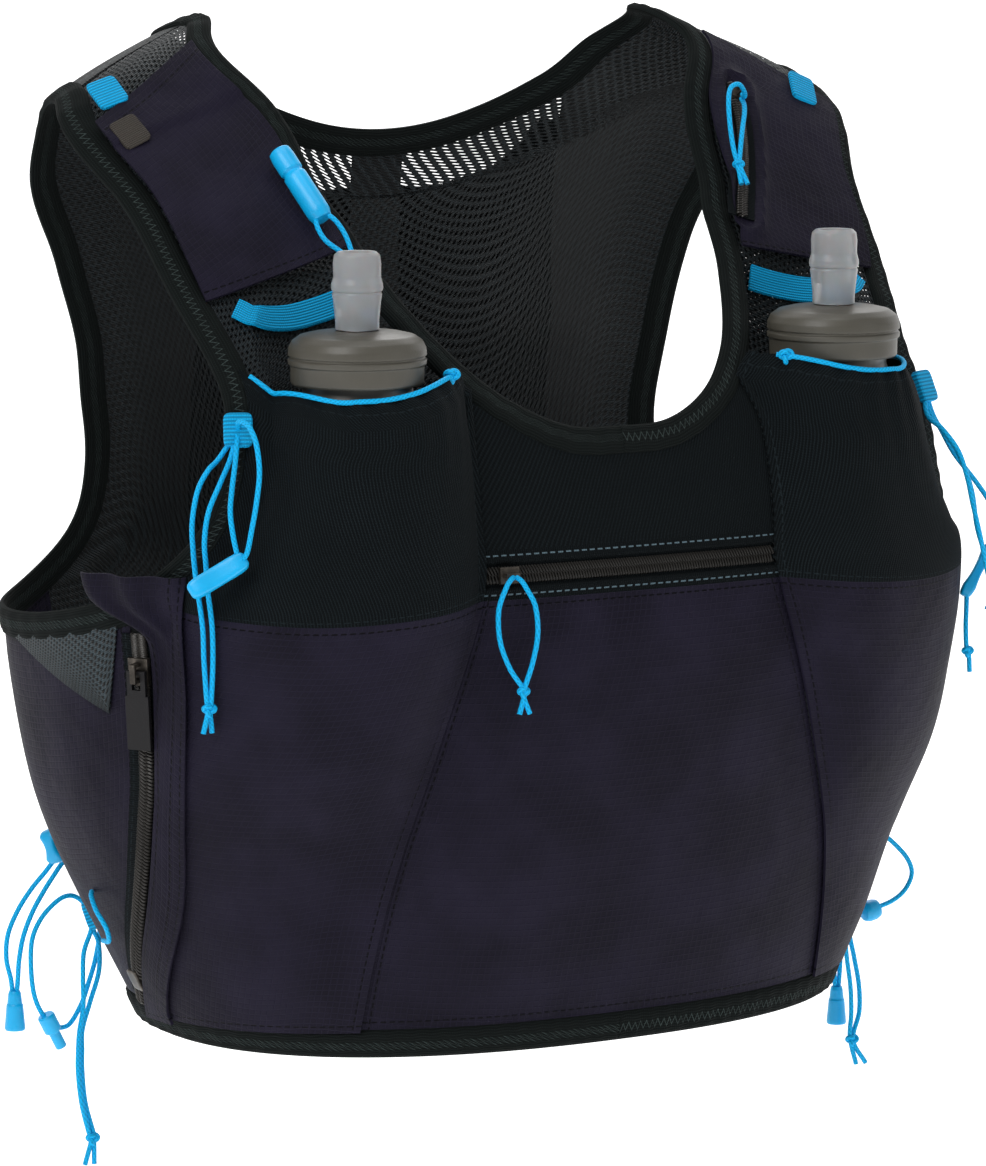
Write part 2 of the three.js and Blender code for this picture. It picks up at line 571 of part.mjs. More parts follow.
// A round cord through points, each [x, y, z].
function cord(points, diameter = CORD_DIAMETER) {
  const path = new THREE.CatmullRomCurve3(points.map((p) => new THREE.Vector3(...p)), false, "catmullrom", 0.5);
  const outline = new THREE.Shape();
  for (let k = 0; k < CORD_SIDES; k++) {
    const turn = (2 * Math.PI * k) / CORD_SIDES;
    const corner = [0.5 * diameter * Math.cos(turn), 0.5 * diameter * Math.sin(turn)];
    if (k) outline.lineTo(...corner);
    else outline.moveTo(...corner);
  }
  const steps = Math.max(2, Math.round(path.getLength() / (CORD_STEP * diameter)));
  return new THREE.ExtrudeGeometry(outline, { steps, bevelEnabled: false, extrudePath: path });
}

function knot(at, radius = KNOT_RADIUS) {
  return new THREE.IcosahedronGeometry(radius, 0).translate(...at);
}

// The axes at a place on the form, as a matrix: across (towards the wearer's left), up and out.
function placed(angle, z, out) {
  const outward = formNormal(angle, z);
  const sideways = new THREE.Vector3(0, 0, 1).cross(outward).normalize();
  const up = outward.clone().cross(sideways);
  return new THREE.Matrix4().makeBasis(sideways, up, outward).setPosition(offForm([angle, z], out));
}

// A flat piece sewn to the form, turned by lean degrees, between two distances off it.
function plaque(angle, z, width, height, inner, outer, lean = 0) {
  const frame = placed(angle, z, 0).multiply(new THREE.Matrix4().makeRotationZ(degToRad(lean)));
  const map = (u, v) => {
    const corner = new THREE.Vector3((u - 0.5) * width, (0.5 - v) * height, 0);
    return onForm(corner.applyMatrix4(frame), angle);
  };
  return cloth(map, [1, 1], inner, outer);
}

// Flasks: an open-necked soft bottle in each bottle pocket
function ringAt(centre, along, outward, halfWidths, halfDepth) {
  return Array.from({ length: FLASK_SIDES }, (_, k) => {
    const c = Math.cos((2 * Math.PI * k) / FLASK_SIDES);
    const s = Math.sin((2 * Math.PI * k) / FLASK_SIDES);
    const reach = c < 0 ? halfWidths[0] : halfWidths[1];
    return centre.clone().addScaledVector(along, c * reach).addScaledVector(outward, s * halfDepth);
  });
}
function flaskRing({ share, width }) {
  const z = -share * HEIGHT;
  const middle = flaskMiddle(z);
  const back = strapFace(middle, z) + CLOTH + FLASK_CLEAR;
  const front = pocketFace(middle, z) - FLASK_CLEAR;
  return Array.from({ length: FLASK_SIDES }, (_, k) => {
    const c = Math.cos((2 * Math.PI * k) / FLASK_SIDES);
    const s = Math.sin((2 * Math.PI * k) / FLASK_SIDES);
    const reach = FLASK_FILL * width * (c < 0 ? inwardReach(z) : outwardReach(z));
    return offForm([middle + c * reach, z], (back + front + s * (front - back)) / 2);
  });
}
function neckRing(z) {
  const turn = degToRad(flaskMiddle(z));
  const along = new THREE.Vector3(Math.cos(turn), Math.sin(turn), 0);
  const outward = new THREE.Vector3(Math.sin(turn), -Math.cos(turn), 0);
  return ringAt(new THREE.Vector3(...NECK_AXIS, z), along, outward, [NECK_RADIUS, NECK_RADIUS], NECK_RADIUS);
}
const centreOf = (ring) => ring.reduce((sum, p) => sum.add(p), new THREE.Vector3()).divideScalar(ring.length);
function inside(ring, rise = 0) {
  const centre = centreOf(ring);
  return ring.map((p) => {
    const spoke = centre.clone().sub(p).setLength(FLASK_WALL);
    return p.clone().add(spoke).add(new THREE.Vector3(0, 0, rise));
  });
}
function flask() {
  const walls = [neckRing(-FLASK_TOP), neckRing(-FLASK_TOP - 9), ...FLASK_RINGS.map(flaskRing)];
  const foot = walls[walls.length - 1];
  const outer = [[centreOf(foot)], ...walls.slice().reverse()];
  const inner = [...walls.slice(0, -1).map((ring) => inside(ring)), inside(foot, FLASK_WALL)];
  return stacked([...outer, ...inner, [centreOf(foot).add(new THREE.Vector3(0, 0, FLASK_WALL))]]);
}
const mirroredX = (geometry) => {
  const flipped = geometry.clone().scale(-1, 1, 1);
  const index = Array.from(flipped.index.array);
  for (let i = 0; i < index.length; i += 3) [index[i + 1], index[i + 2]] = [index[i + 2], index[i + 1]];
  flipped.setIndex(index);
  flipped.computeVertexNormals();
  return flipped;
};
const forSide = (geometry, sign) => (sign < 0 ? mirroredX(geometry) : geometry);

const ceiling = TOUCH; // the cap's underside rests just off the rim
const capTop = ceiling + CAP_HEIGHT - CAP_SKIRT;
const cap = turned(
  [
    [0, ceiling], [NECK_RADIUS + 1.5, ceiling], [NECK_RADIUS + 1.5, -CAP_SKIRT], [CAP_RADIUS, -CAP_SKIRT],
    [CAP_RADIUS, capTop - 6], [CAP_RADIUS - CAP_WALL, capTop - 2], [VALVE_COLLAR + 2, capTop], [0, capTop],
  ],
  [...NECK_AXIS, -FLASK_TOP],
  [0, 0, 1],
  12,
);
const valve = turned(
  [
    [0, 0], [VALVE_COLLAR, 0], [VALVE_COLLAR, 4], [VALVE_RADIUS, 5], [VALVE_RADIUS, VALVE_HEIGHT - 6],
    [VALVE_RADIUS - 1, VALVE_HEIGHT], [VALVE_BORE, VALVE_HEIGHT], [VALVE_BORE, 8], [0, 8],
  ],
  [...NECK_AXIS, -FLASK_TOP + capTop + TOUCH],
  [0, 0, 1],
  10,
);
const bandLine = line([[57.5, 0.284], [54, 0.28], [50, 0.273], [46.8, 0.267]]);
const elasticFace = thicker(strapFace, TOP_LAYER + 0.7);
for (const [side, sign] of SIDES) {
  add(`flask_${side}`, forSide(flask(), sign), "flask");
  add(`flask_cap_${side}`, forSide(cap, sign), "cap");
  add(`bite_valve_${side}`, forSide(valve, sign), "valve");
  const band = onSide(ribbon(bandLine, BAND_WIDTH), sign);
  add(`bottle_band_${side}`, cloth(band, [8, 1], elasticFace, thicker(elasticFace, WEBBING)), "blue");
}

// Side zip down the wearer's right: tape and coil, slider, hinged pull tab, and the placket in front
const zipTop = -0.575 * HEIGHT;
const zipEnds = [find(SIDE_ZIP, 1, zipTop), find(SIDE_ZIP, 1, HEM_CLOTH + 4)];
const TAPE_ROWS = [0, 0.3, 0.33, 0.67, 0.7, 1];
const sideBand = (u, v) => beside(SIDE_ZIP, lerp(0.5, -0.5, TAPE_ROWS[Math.round(5 * v)]) * TAPE_WIDTH)(lerp(...zipEnds, u));
const zipRaise = (u, v) => (v > 0.3 && v < 0.7 ? TAPE + COIL_HEIGHT : TAPE);
add("side_zip", cloth(onSide(sideBand, -1), [10, 5], 0, zipRaise, false, true), "zip");

const placketBack = beside(SIDE_ZIP, COIL_WIDTH / 2 + 2.4);
const placketRow = (v) => lerp(-0.515 * HEIGHT, HEM_CLOTH, v);
const placket = (u, v) => {
  const z = placketRow(v);
  const front = PLACKET_EDGE(find(PLACKET_EDGE, 1, z));
  const rear = placketBack(find(placketBack, 1, z));
  return [lerp(front[0], rear[0], u), z];
};
const placketFace = thicker(pocketFace, CLOTH + 1);
add("zip_placket", cloth(onSide(placket, -1), [2, 12], placketFace, thicker(placketFace, CLOTH)), "ripstop");

function block(width, height, depth, x, y, z) {
  return new THREE.BoxGeometry(width, height, depth).translate(x, y, z);
}
const SLIDER = { width: 8, length: 10, body: 2.2, bridge: 2.2, post: 1.2, rise: 3.6 };
// A slider seen along the zip: a body, and a bridge over its middle on two posts.
function slider(matrix, scale) {
  const { width, length, body, bridge, post, rise } = SLIDER;
  const end = length / 2 - 1.5 - post / 2;
  const shape = fused(
    block(width, length, body, 0, 0, body / 2),
    block(bridge, post, rise, 0, end, body + rise / 2 - 0.1),
    block(bridge, post, rise, 0, -end, body + rise / 2 - 0.1),
    block(bridge, 2 * end + post, post, 0, 0, body + rise),
  );
  return shape.scale(scale, scale, scale).applyMatrix4(matrix);
}
const hingeZ = -0.61 * HEIGHT;
const hingeAngle = -SIDE_ZIP(find(SIDE_ZIP, 1, hingeZ))[0];
const sliderBase = TAPE + COIL_HEIGHT + TOUCH;
const hingeFrame = placed(hingeAngle, hingeZ, sliderBase);
add("side_zip_slider", slider(hingeFrame, 1), "metal");

// The tab hangs from a crossbar under the slider's bridge.
const CROSSBAR = 1.5;
const tabRise = SLIDER.body + 0.45 + CROSSBAR / 2;
const tabShape = cut(
  fused(
    block(TAB_WIDTH - 2, CROSSBAR, CROSSBAR, 0, 0, tabRise),
    block(TAB_WIDTH - 2, TAB_LENGTH - 4, CROSSBAR, 0, -TAB_LENGTH / 2 + 2, tabRise),
    block(TAB_WIDTH, TAB_LENGTH - 11, TAB_THICKNESS, 0, -TAB_LENGTH / 2 - 3, tabRise),
  ),
  block(3.6, 5.6, 4, 0, -CROSSBAR / 2 - 2.8, tabRise),
);
add("side_zip_tab", tabShape.applyMatrix4(hingeFrame), "tab");

// Front zip's slider at the wearer's right end of the chest zip
const sliderZ = -(ZIP_TOP + ZIP_BOTTOM) / 2;
const frontTurn = new THREE.Matrix4().makeRotationZ(Math.PI / 2);
const frontFrame = placed(-23.5, sliderZ, CLOTH + COIL_HEIGHT + TOUCH).multiply(frontTurn);
add("front_zip_slider", slider(frontFrame, 0.75), "metal");

// Shoulder pocket's zip: a fine coil sunk across the pocket, its slider near the top
const pocketZip = line([[75, 0.085], [68.5, 0.135], [62, 0.175], [53, 0.218]]);
const zipFace = thicker(shoulderFace, CLOTH + TOUCH);
add(
  "shoulder_zip",
  cloth(ribbon(pocketZip, FINE_COIL_WIDTH), [8, 1], zipFace, thicker(zipFace, COIL_HEIGHT)),
  "zip",
);
const shoulderZip = pocketZip(0.04);
const sliderOut = zipFace(...shoulderZip) + COIL_HEIGHT + 3 * TOUCH;
const zipTurn = new THREE.Matrix4().makeRotationZ(degToRad(-30));
add("shoulder_zip_slider", slider(placed(...beside(pocketZip, 2)(0.08), sliderOut).multiply(zipTurn), 0.6), "metal");

// Webbing loops and the blank label on the shoulders
const sewnFace = thicker(shoulderFace, CLOTH + 0.5);
add("webbing_loop_right", plaque(-83.5, -29, 11, 14, sewnFace, thicker(sewnFace, WEBBING), 30), "blue");
add("webbing_loop_left", plaque(80.5, -35, 11, 14, sewnFace, thicker(sewnFace, WEBBING), -30), "blue");
add("size_label", plaque(-79, -43, 11, 12, sewnFace, thicker(sewnFace, TAPE), 30), "label");

// Chest cords: on each side a sewn tab, two strands down to a knot, and a hook on its own loop
const TAB_OUT = 3.4; // a cord tab's inner face, off the form, clear of the binding below it
add("chest_tab_right", plaque(-56, -142.5, 11, 12.5, TAB_OUT, TAB_OUT + 3), "blue");
add("chest_tab_left", plaque(56, -142.5, 11, 12.5, TAB_OUT, TAB_OUT + 3), "blue");
add(
  "chest_cord_right",
  fused(
    cord([
      [-155, -128, -150.5], [-160.5, -130.5, -154], [-165, -131, -161], [-167.5, -131.5, -172],
      [-167.5, -132, -182], [-166.5, -132.5, -194], [-165, -134, -209], [-164.5, -134, -222], [-163.5, -134, -236],
      [-163, -134, -240], [-165, -134, -248],
    ]),
    cord([
      [-152.5, -132, -150.5], [-158.5, -136, -158], [-163.5, -136.5, -168], [-165.5, -137, -178],
      [-165, -137, -187], [-164, -136.5, -197], [-162.5, -136.5, -209], [-162, -136, -222], [-162, -134.5, -236],
      [-162, -133.5, -240], [-161, -133, -248],
    ]),
    knot([-162.5, -134, -239.5], 3),
  ),
  "blue",
);
add(
  "chest_hook_right",
  fused(
    cord([
      [-150, -134, -137], [-150.5, -142, -137.5], [-151, -149, -143], [-151, -151.5, -153], [-152, -151, -164],
      [-153.5, -150, -174], [-155.5, -150, -182], [-157, -147, -185],
    ]),
    cord([
      [-153, -137, -150.5], [-156.5, -141, -160], [-158.5, -143.5, -168], [-158.5, -146, -177], [-157, -147, -185],
    ]),
    turned([[0, -3], [2.6, -3], [2.6, 19], [1.6, 21], [0, 21]], [-157, -147, -185.5], [-0.85, 0.2, -0.48], 8),
  ),
  "blue",
);
add(
  "chest_cord_left",
  fused(
    cord([
      [144, -135.5, -150.5], [147, -142, -156], [152, -145, -164], [155.5, -146, -174], [157.5, -147, -184],
      [160, -148, -195], [163.5, -147, -206], [168, -145, -218], [169, -145, -220], [166, -145, -226],
    ]),
    cord([
      [147, -133, -150.5], [151, -138, -158], [156, -140.5, -167], [160.5, -142, -180], [162.5, -143, -194],
      [166, -144, -206], [169, -144.5, -218], [170, -145, -220], [173, -145, -227],
    ]),
    knot([169, -145, -219.5], 3),
  ),
  "blue",
);
add(
  "chest_hook_left",
  fused(
    cord([
      [150, -130, -150.5], [154, -131, -158], [159, -132.5, -167], [168, -134, -178], [174, -135.5, -187],
      [177, -136, -195], [176, -136, -201], [173, -136, -205],
    ]),
    turned([[0, -3], [2.6, -3], [2.6, 17], [1.6, 19], [0, 19]], [173, -136, -204.5], [-0.55, 0, -0.835], 8),
    cord([
      [163, -136, -219], [162.5, -136.5, -226], [162, -137, -234], [162.5, -137, -242], [163.5, -137, -244],
      [164, -137, -251],
    ]),
    knot([163, -137, -243], 2.6),
  ),
  "blue",
);

// Hem cords: a tab on the edge of the back, a loop and strands to a toggle, and tails to a knot
add("hem_tab_right", plaque(-113, -339, 8, 12, 5.6, 11.6), "blue");
add("hem_tab_left", plaque(86, -331, 8, 12, 3.6, 7.6), "blue");
add(
  "hem_cord_right",
  fused(
    cord([
      [-137.5, 16, -349], [-140.5, 16, -357], [-141, 16, -367], [-141, 16, -378], [-142.5, 16.5, -388],
      [-143, 16.8, -396], [-143, 16.8, -405], [-141.5, 17, -417], [-138, 18, -429], [-137, 18, -431], [-140, 18, -441],
    ]),
    cord([
      [-134.5, 20, -349], [-132, 20.5, -355], [-132, 20.5, -366], [-136, 20.5, -378], [-139.5, 20, -388],
      [-140, 19.5, -396], [-140, 19.5, -405], [-138.8, 19.5, -417], [-136, 18.4, -429], [-136, 18, -431],
      [-136, 18, -441],
    ]),
    knot([-136.5, 18, -431], 3),
  ),
  "blue",
);
add(
  "hem_toggle_right",
  fused(
    cord([
      [-141.5, 19, -336], [-147, 19, -335], [-153, 19, -338.5], [-158, 19, -344], [-161, 19, -351], [-161.5, 19, -361],
      [-160.5, 19, -371], [-158, 19, -378], [-154.5, 18.5, -383],
    ]),
    cord([
      [-139, 23.5, -331.5], [-134, 24, -335], [-130.5, 24.5, -342], [-129.5, 24.5, -351], [-131.5, 24.5, -362],
      [-134.5, 24.5, -371], [-138, 24, -379], [-144, 22.5, -386], [-151, 20, -386], [-154.5, 18.5, -384.5],
    ]),
    turned([[0, -4.2], [3.4, -4.2], [3.4, 3.2], [2.2, 3.8], [2.2, 11], [0, 11]], [-154, 18.5, -384], [0.45, 0, -0.89], 8),
  ),
  "blue",
);
add(
  "hem_cord_left",
  fused(
    cord([
      [158, -56, -341], [162.5, -57, -347], [161.5, -58, -355], [160.5, -58, -366], [161, -58, -376],
      [163, -58, -389], [163.5, -58, -400], [163, -58, -410], [166, -58, -421],
    ]),
    cord([
      [161, -54, -341], [166, -55, -346], [165, -56, -355], [163.5, -56, -366], [166, -56, -378],
      [168, -56.5, -389], [168, -57, -400], [164.5, -58, -411], [170.5, -58, -421],
    ]),
    knot([164, -58, -411], 3),
  ),
  "blue",
);
add(
  "hem_toggle_left",
  fused(
    cord([
      [166, -50, -325], [168, -52, -321], [171, -54, -322.5], [178, -56, -328], [185, -57, -334], [190, -58, -340],
      [192, -58, -346], [189, -58, -352], [183, -58, -356], [174, -58, -358.5],
    ]),
    turned([[0, -4.5], [3.6, -3.5], [4.2, 0], [3.6, 3], [0, 4]], [172.5, -58, -359], [1, 0, 0.2], 8),
  ),
  "blue",
);

// Cinches: a cord lock on the side of the back, two strands down to a bell end
add("cinch_lock_right", plaque(-110, -311, 13, 13, 5.6, 13.6), "blue");
add("cinch_lock_left", plaque(99, -318, 13, 13, 2.6, 10.6), "blue");
const BELL = [[0, 0], [2.3, 0], [2.9, -5], [4, -15.3], [0, -15.3]];
add(
  "cinch_cord_right",
  fused(
    cord([
      [-146, 25, -318.3], [-151, 25.5, -325], [-157.5, 26, -332], [-163.5, 26, -340], [-168, 25.5, -349],
      [-169, 25, -358], [-167.6, 24.2, -366], [-167, 24, -372],
    ]),
    cord([
      [-143, 22.8, -318.3], [-148, 22.8, -325], [-153.5, 22.5, -332], [-159, 22, -340], [-163, 22, -349],
      [-165, 22, -358], [-165.4, 22.6, -366], [-165.8, 23, -372],
    ]),
    turned(BELL, [-166.4, 23.5, -370.5], [0, 0, 1], 8),
  ),
  "blue",
);
add(
  "cinch_cord_left",
  fused(
    cord([
      [165, -30, -325.4], [165.5, -33, -335], [163, -38, -350], [163, -42, -365], [163.5, -44.5, -380],
      [164.4, -45, -393],
    ]),
    cord([
      [164, -27, -325.4], [168, -31, -336], [168, -37, -350], [168, -42, -365], [167, -44.5, -380], [165.8, -45, -393],
    ]),
    turned(BELL, [165, -45, -391.5], [0, 0, 1], 8),
  ),
  "blue",
);

// Zip pulls and the half ring of cord sewn into the side of the hem
add(
  "front_zip_pull",
  fused(
    cord([
      [-59.5, -167, -199], [-62.5, -167, -207], [-62.5, -168, -218], [-59, -169, -228], [-54, -169, -235],
      [-53, -169, -238], [-55, -169, -245],
    ]),
    cord([
      [-54.5, -169, -199], [-49, -170, -206], [-48, -170, -216], [-50, -170, -226], [-53, -169.5, -235],
      [-53.5, -169, -238], [-51, -169.5, -245],
    ]),
    knot([-53.3, -169, -237]),
  ),
  "blue",
);
add(
  "shoulder_zip_pull",
  fused(
    cord([
      [107.5, -63, -33.5], [105, -64, -28.5], [100, -65, -28], [96, -69, -33], [93.5, -74, -42], [92, -79, -51],
      [91.5, -83, -57], [90, -88, -64],
    ]),
    cord([
      [104.5, -67, -37.5], [101, -71.5, -42], [97.5, -76, -47], [94, -80.5, -53], [92, -83.5, -57], [92.5, -88.5, -64],
    ]),
    knot([91.8, -83, -57]),
  ),
  "blue",
);
add(
  "half_ring_cord",
  cord([[-167, -46, -320], [-169.5, -51, -321], [-170.5, -57, -325], [-168.5, -61, -331], [-165, -56, -337], [-162.5, -46, -339]]),
  "blue",
);

// Whistle on the right shoulder with its two cord loops
add(
  "whistle",
  fused(
    turned(
      [[0, 0], [3, 0], [4.2, 3], [4.2, 10], [3.2, 11], [3.2, 30], [2, 33], [0, 33]],
      [-101, -72.5, -46],
      [0.24, -0.62, -0.75],
      8,
    ),
    cord([[-95, -90, -68], [-97, -94.5, -72], [-96, -99, -77], [-92, -103, -81], [-88.5, -105, -84]]),
    cord([[-93, -92, -67.5], [-90.5, -96, -70], [-88.5, -100, -75], [-88, -104, -81], [-87.5, -105, -84]]),
    knot([-88, -105, -84]),
  ),
  "blue",
);

export default group;
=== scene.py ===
"""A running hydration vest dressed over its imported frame: mesh, stretch and ripstop cloth with bindings,
stitches, zips, soft flasks and blue shock cords. Metres, +Z up, the wearer faces -Y, -X is their right."""

import math

import bpy
import numpy as np
from mathutils import Matrix, Vector


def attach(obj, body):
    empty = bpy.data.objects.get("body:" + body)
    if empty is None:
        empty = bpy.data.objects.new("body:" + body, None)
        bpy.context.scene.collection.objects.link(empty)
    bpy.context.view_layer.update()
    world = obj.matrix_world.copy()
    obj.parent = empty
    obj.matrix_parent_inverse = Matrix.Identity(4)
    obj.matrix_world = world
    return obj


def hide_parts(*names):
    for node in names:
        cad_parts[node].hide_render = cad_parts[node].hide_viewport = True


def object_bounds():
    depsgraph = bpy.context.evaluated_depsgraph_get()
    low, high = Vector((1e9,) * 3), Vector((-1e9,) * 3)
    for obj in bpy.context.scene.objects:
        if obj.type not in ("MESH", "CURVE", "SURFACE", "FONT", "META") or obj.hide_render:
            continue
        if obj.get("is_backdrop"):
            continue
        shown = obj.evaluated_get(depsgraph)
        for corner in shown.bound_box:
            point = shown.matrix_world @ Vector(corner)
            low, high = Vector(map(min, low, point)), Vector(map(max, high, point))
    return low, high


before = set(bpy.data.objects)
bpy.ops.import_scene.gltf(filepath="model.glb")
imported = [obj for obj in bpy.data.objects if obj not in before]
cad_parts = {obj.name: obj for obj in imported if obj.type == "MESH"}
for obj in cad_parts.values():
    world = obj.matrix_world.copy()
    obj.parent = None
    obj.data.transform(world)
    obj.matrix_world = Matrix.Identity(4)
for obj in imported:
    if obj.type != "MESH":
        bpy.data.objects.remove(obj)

bl_info = {
    "name": "Running Hydration Vest",
    "version": (1, 0, 0),
    "blender": (4, 5, 0),
    "location": "View3D > Sidebar > Vest",
    "description": "Builds the cloth, trims, flasks and cords of a running vest",
    "category": "Add Mesh",
}

# Torso form
HEIGHT = 0.375
CHEST_HALF_WIDTH = 0.199
CHEST_DEPTH = 0.124
BACK_DEPTH = 0.090
HEM_LEAD = 0.050
# Columns: share of HEIGHT, then shares of half width, front depth and back depth, squareness, lead
SECTIONS = np.array([
    (-1.0, 0.693, 0.774, 1.0, 2.3, 1.0),
    (-0.773, 0.89, 0.911, 0.978, 2.4, 0.84),
    (-0.579, 0.945, 1.0, 0.933, 2.5, 0.7),
    (-0.403, 0.985, 0.976, 0.778, 2.9, 0.54),
    (-0.333, 0.995, 0.847, 0.711, 3.0, 0.5),
    (-0.253, 1.0, 0.653, 0.667, 3.0, 0.42),
    (-0.163, 0.955, 0.419, 0.6, 3.0, 0.36),
    (-0.073, 0.789, 0.274, 0.467, 2.6, 0.26),
    (0.0, 0.472, 0.226, 0.378, 2.6, 0.0),
    (0.032, 0.276, 0.177, 0.333, 2.6, -0.08),
])

# Cloth and trims
CLOTH = 0.0011
TOP_LAYER = 0.0019
UNDER_BINDING = 0.008  # how far from an edge the cloth under its binding starts
BINDING_PROUD = 0.001
UNDER_SEAM = 0.003  # how far a lower cloth runs on under the one sewn over its edge
RIDGE_GAP = 0.003  # of an edge line's length, on each side of a shoulder ridge
ZIP_TOP = 0.187
ZIP_BOTTOM = 0.205
POUCH_PUFF = 0.005
SHOULDER_PUFF = 0.0035
BACK_PUFF = 0.002
FLASK_TOP = 0.119
FLASK_FRONT = 0.023
FLASK_DENT = 0.0165
FLASK_CLEAR = 0.0014
FLASK_FILL = 0.8
NECK_AXIS = (0.102, -0.134)
NECK_RADIUS = 0.020
COIL_WIDTH = 0.0056
FINE_COIL = 0.004
TAPE_WIDTH = 0.015
TAPE = 0.0009

# Pattern lines on the wearer's left half: angle from the front in degrees, share of HEIGHT
NECK = [
    (0, 0.389), (10, 0.386), (20, 0.362), (29, 0.324), (41.5, 0.255), (51, 0.201), (58.3, 0.164),
    (67, 0.104), (72, 0.071), (82, 0.012), (90, 0), (98, 0.009), (108.5, 0.032), (120, 0.072),
    (135, 0.101), (155, 0.119), (180, 0.125),
]
ARM = [
    (90, 0.083), (77.5, 0.156), (66.5, 0.256), (58.8, 0.34), (57.3, 0.4), (60.5, 0.472), (70, 0.535),
    (84, 0.566), (97, 0.574), (108, 0.562), (115.5, 0.52), (117, 0.455), (113.9, 0.355), (108.5, 0.22),
    (100, 0.108),
]
FRONT_SEAM = [(27.5, 0.33), (27, 0.47), (27.5, 0.545), (35.5, 0.69), (43, 0.813), (51.5, 0.972)]
SIDE_ZIP = [(68.5, 0.53), (69.3, 0.58), (70, 0.643), (72, 0.744), (78.5, 0.851), (92, 0.972)]
PLACKET_EDGE = [(62, 0.5), (63.2, 0.56), (64, 0.643), (67, 0.76), (72, 0.86), (83, 0.968)]
POUCH_EDGE = [(27, 0.546), (36, 0.553), (47.6, 0.556), (58.7, 0.549)]
BACK_POCKET_EDGE = [(121, 0.125), (129, 0.152), (140, 0.182), (155, 0.189), (180, 0.186)]

# Camera: angles in degrees, its distance, its target's place across and up the picture, lens in mm
CAMERA = {
    "azimuth": -30.0, "elevation": 8.07, "distance": 2.189, "across": 0.0273, "up": -0.2196,
    "lens": 175.7,
}


class VestSettings(bpy.types.PropertyGroup):
    """Sizes and colours that the pieces share."""

    binding_width: bpy.props.FloatProperty(
        name="Binding width", description="Width of the elastic binding on every edge",
        default=0.011, unit="LENGTH")
    cord_diameter: bpy.props.FloatProperty(
        name="Cord diameter", description="Diameter of the shock cord",
        default=0.0019, unit="LENGTH")
    cell: bpy.props.FloatProperty(
        name="Cloth cell", description="Size of a cell of a cloth surface",
        default=0.002, unit="LENGTH")
    black: bpy.props.FloatVectorProperty(
        name="Black cloth", description="Colour of the stretch cloth and mesh",
        default=(0.0036, 0.0054, 0.0064), subtype="COLOR")
    aubergine: bpy.props.FloatVectorProperty(
        name="Ripstop", description="Colour of the aubergine ripstop",
        default=(0.0088, 0.0074, 0.0160), subtype="COLOR")
    blue: bpy.props.FloatVectorProperty(
        name="Trim blue", description="Colour of cords and webbing",
        default=(0.001, 0.41, 0.80), subtype="COLOR")
    bronze: bpy.props.FloatVectorProperty(
        name="Zip bronze", description="Colour of zip coils",
        default=(0.022, 0.020, 0.018), subtype="COLOR")
    olive: bpy.props.FloatVectorProperty(
        name="Flask olive", description="Colour of caps and flasks",
        default=(0.066, 0.061, 0.048), subtype="COLOR")


def settings():
    """The sizes and colours set for this scene."""
    return bpy.context.scene.vest


# The torso form
def section(z):
    """The traits of the form's outline at each height, as smooth cubics through SECTIONS."""
    height = np.asarray(z) / HEIGHT
    stops = SECTIONS[:, 0]
    last = len(stops) - 1
    low = np.maximum(np.arange(last + 1) - 1, 0)
    high = np.minimum(np.arange(last + 1) + 1, last)
    slopes = (SECTIONS[high] - SECTIONS[low]) / (stops[high] - stops[low])[:, None]
    i = np.minimum(np.searchsorted(stops[1:], height), last - 1)
    span = stops[i + 1] - stops[i]
    t = ((height - stops[i]) / span)[..., None]
    start = slopes[i] * span[..., None]
    end = slopes[i + 1] * span[..., None]
    rise = SECTIONS[i + 1] - SECTIONS[i]
    bend = 3 * rise - 2 * start - end
    twist = start + end - 2 * rise
    return np.moveaxis(SECTIONS[i] + t * start + t**2 * bend + t**3 * twist, -1, 0)[1:]


def form_point(angle, z):
    """Points of the form: superellipse sections, deeper in front than behind, that lean forward."""
    width, front, back, square, lead = section(z)
    s = np.sin(np.radians(angle))
    c = np.cos(np.radians(angle))
    depth = np.where(c >= 0, front * CHEST_DEPTH, back * BACK_DEPTH)
    flat = np.abs(s / (width * CHEST_HALF_WIDTH)) ** square + np.abs(c / depth) ** square
    reach = flat ** (-1 / square)
    return np.stack([reach * s, -lead * HEM_LEAD - reach * c, z + 0 * reach], -1)


def unit(vectors):
    """Vectors of length 1 in the same directions."""
    return vectors / np.maximum(np.linalg.norm(vectors, axis=-1, keepdims=True), 1e-12)


def form_normal(angle, z):
    """Outward unit normals of the form, from its slopes round and up."""
    around = form_point(angle + 0.5, z) - form_point(angle - 0.5, z)
    rise = form_point(angle, z + 0.001) - form_point(angle, z - 0.001)
    return unit(np.cross(around, rise))


def on_form(points, near):
    """The angle and height of the form nearest to points close to it."""
    lead = section(points[..., 2])[4] * HEM_LEAD
    turned = np.degrees(np.arctan2(points[..., 0], -(points[..., 1] + lead)))
    return np.stack([turned + 360 * np.round((near - turned) / 360), points[..., 2]], -1)


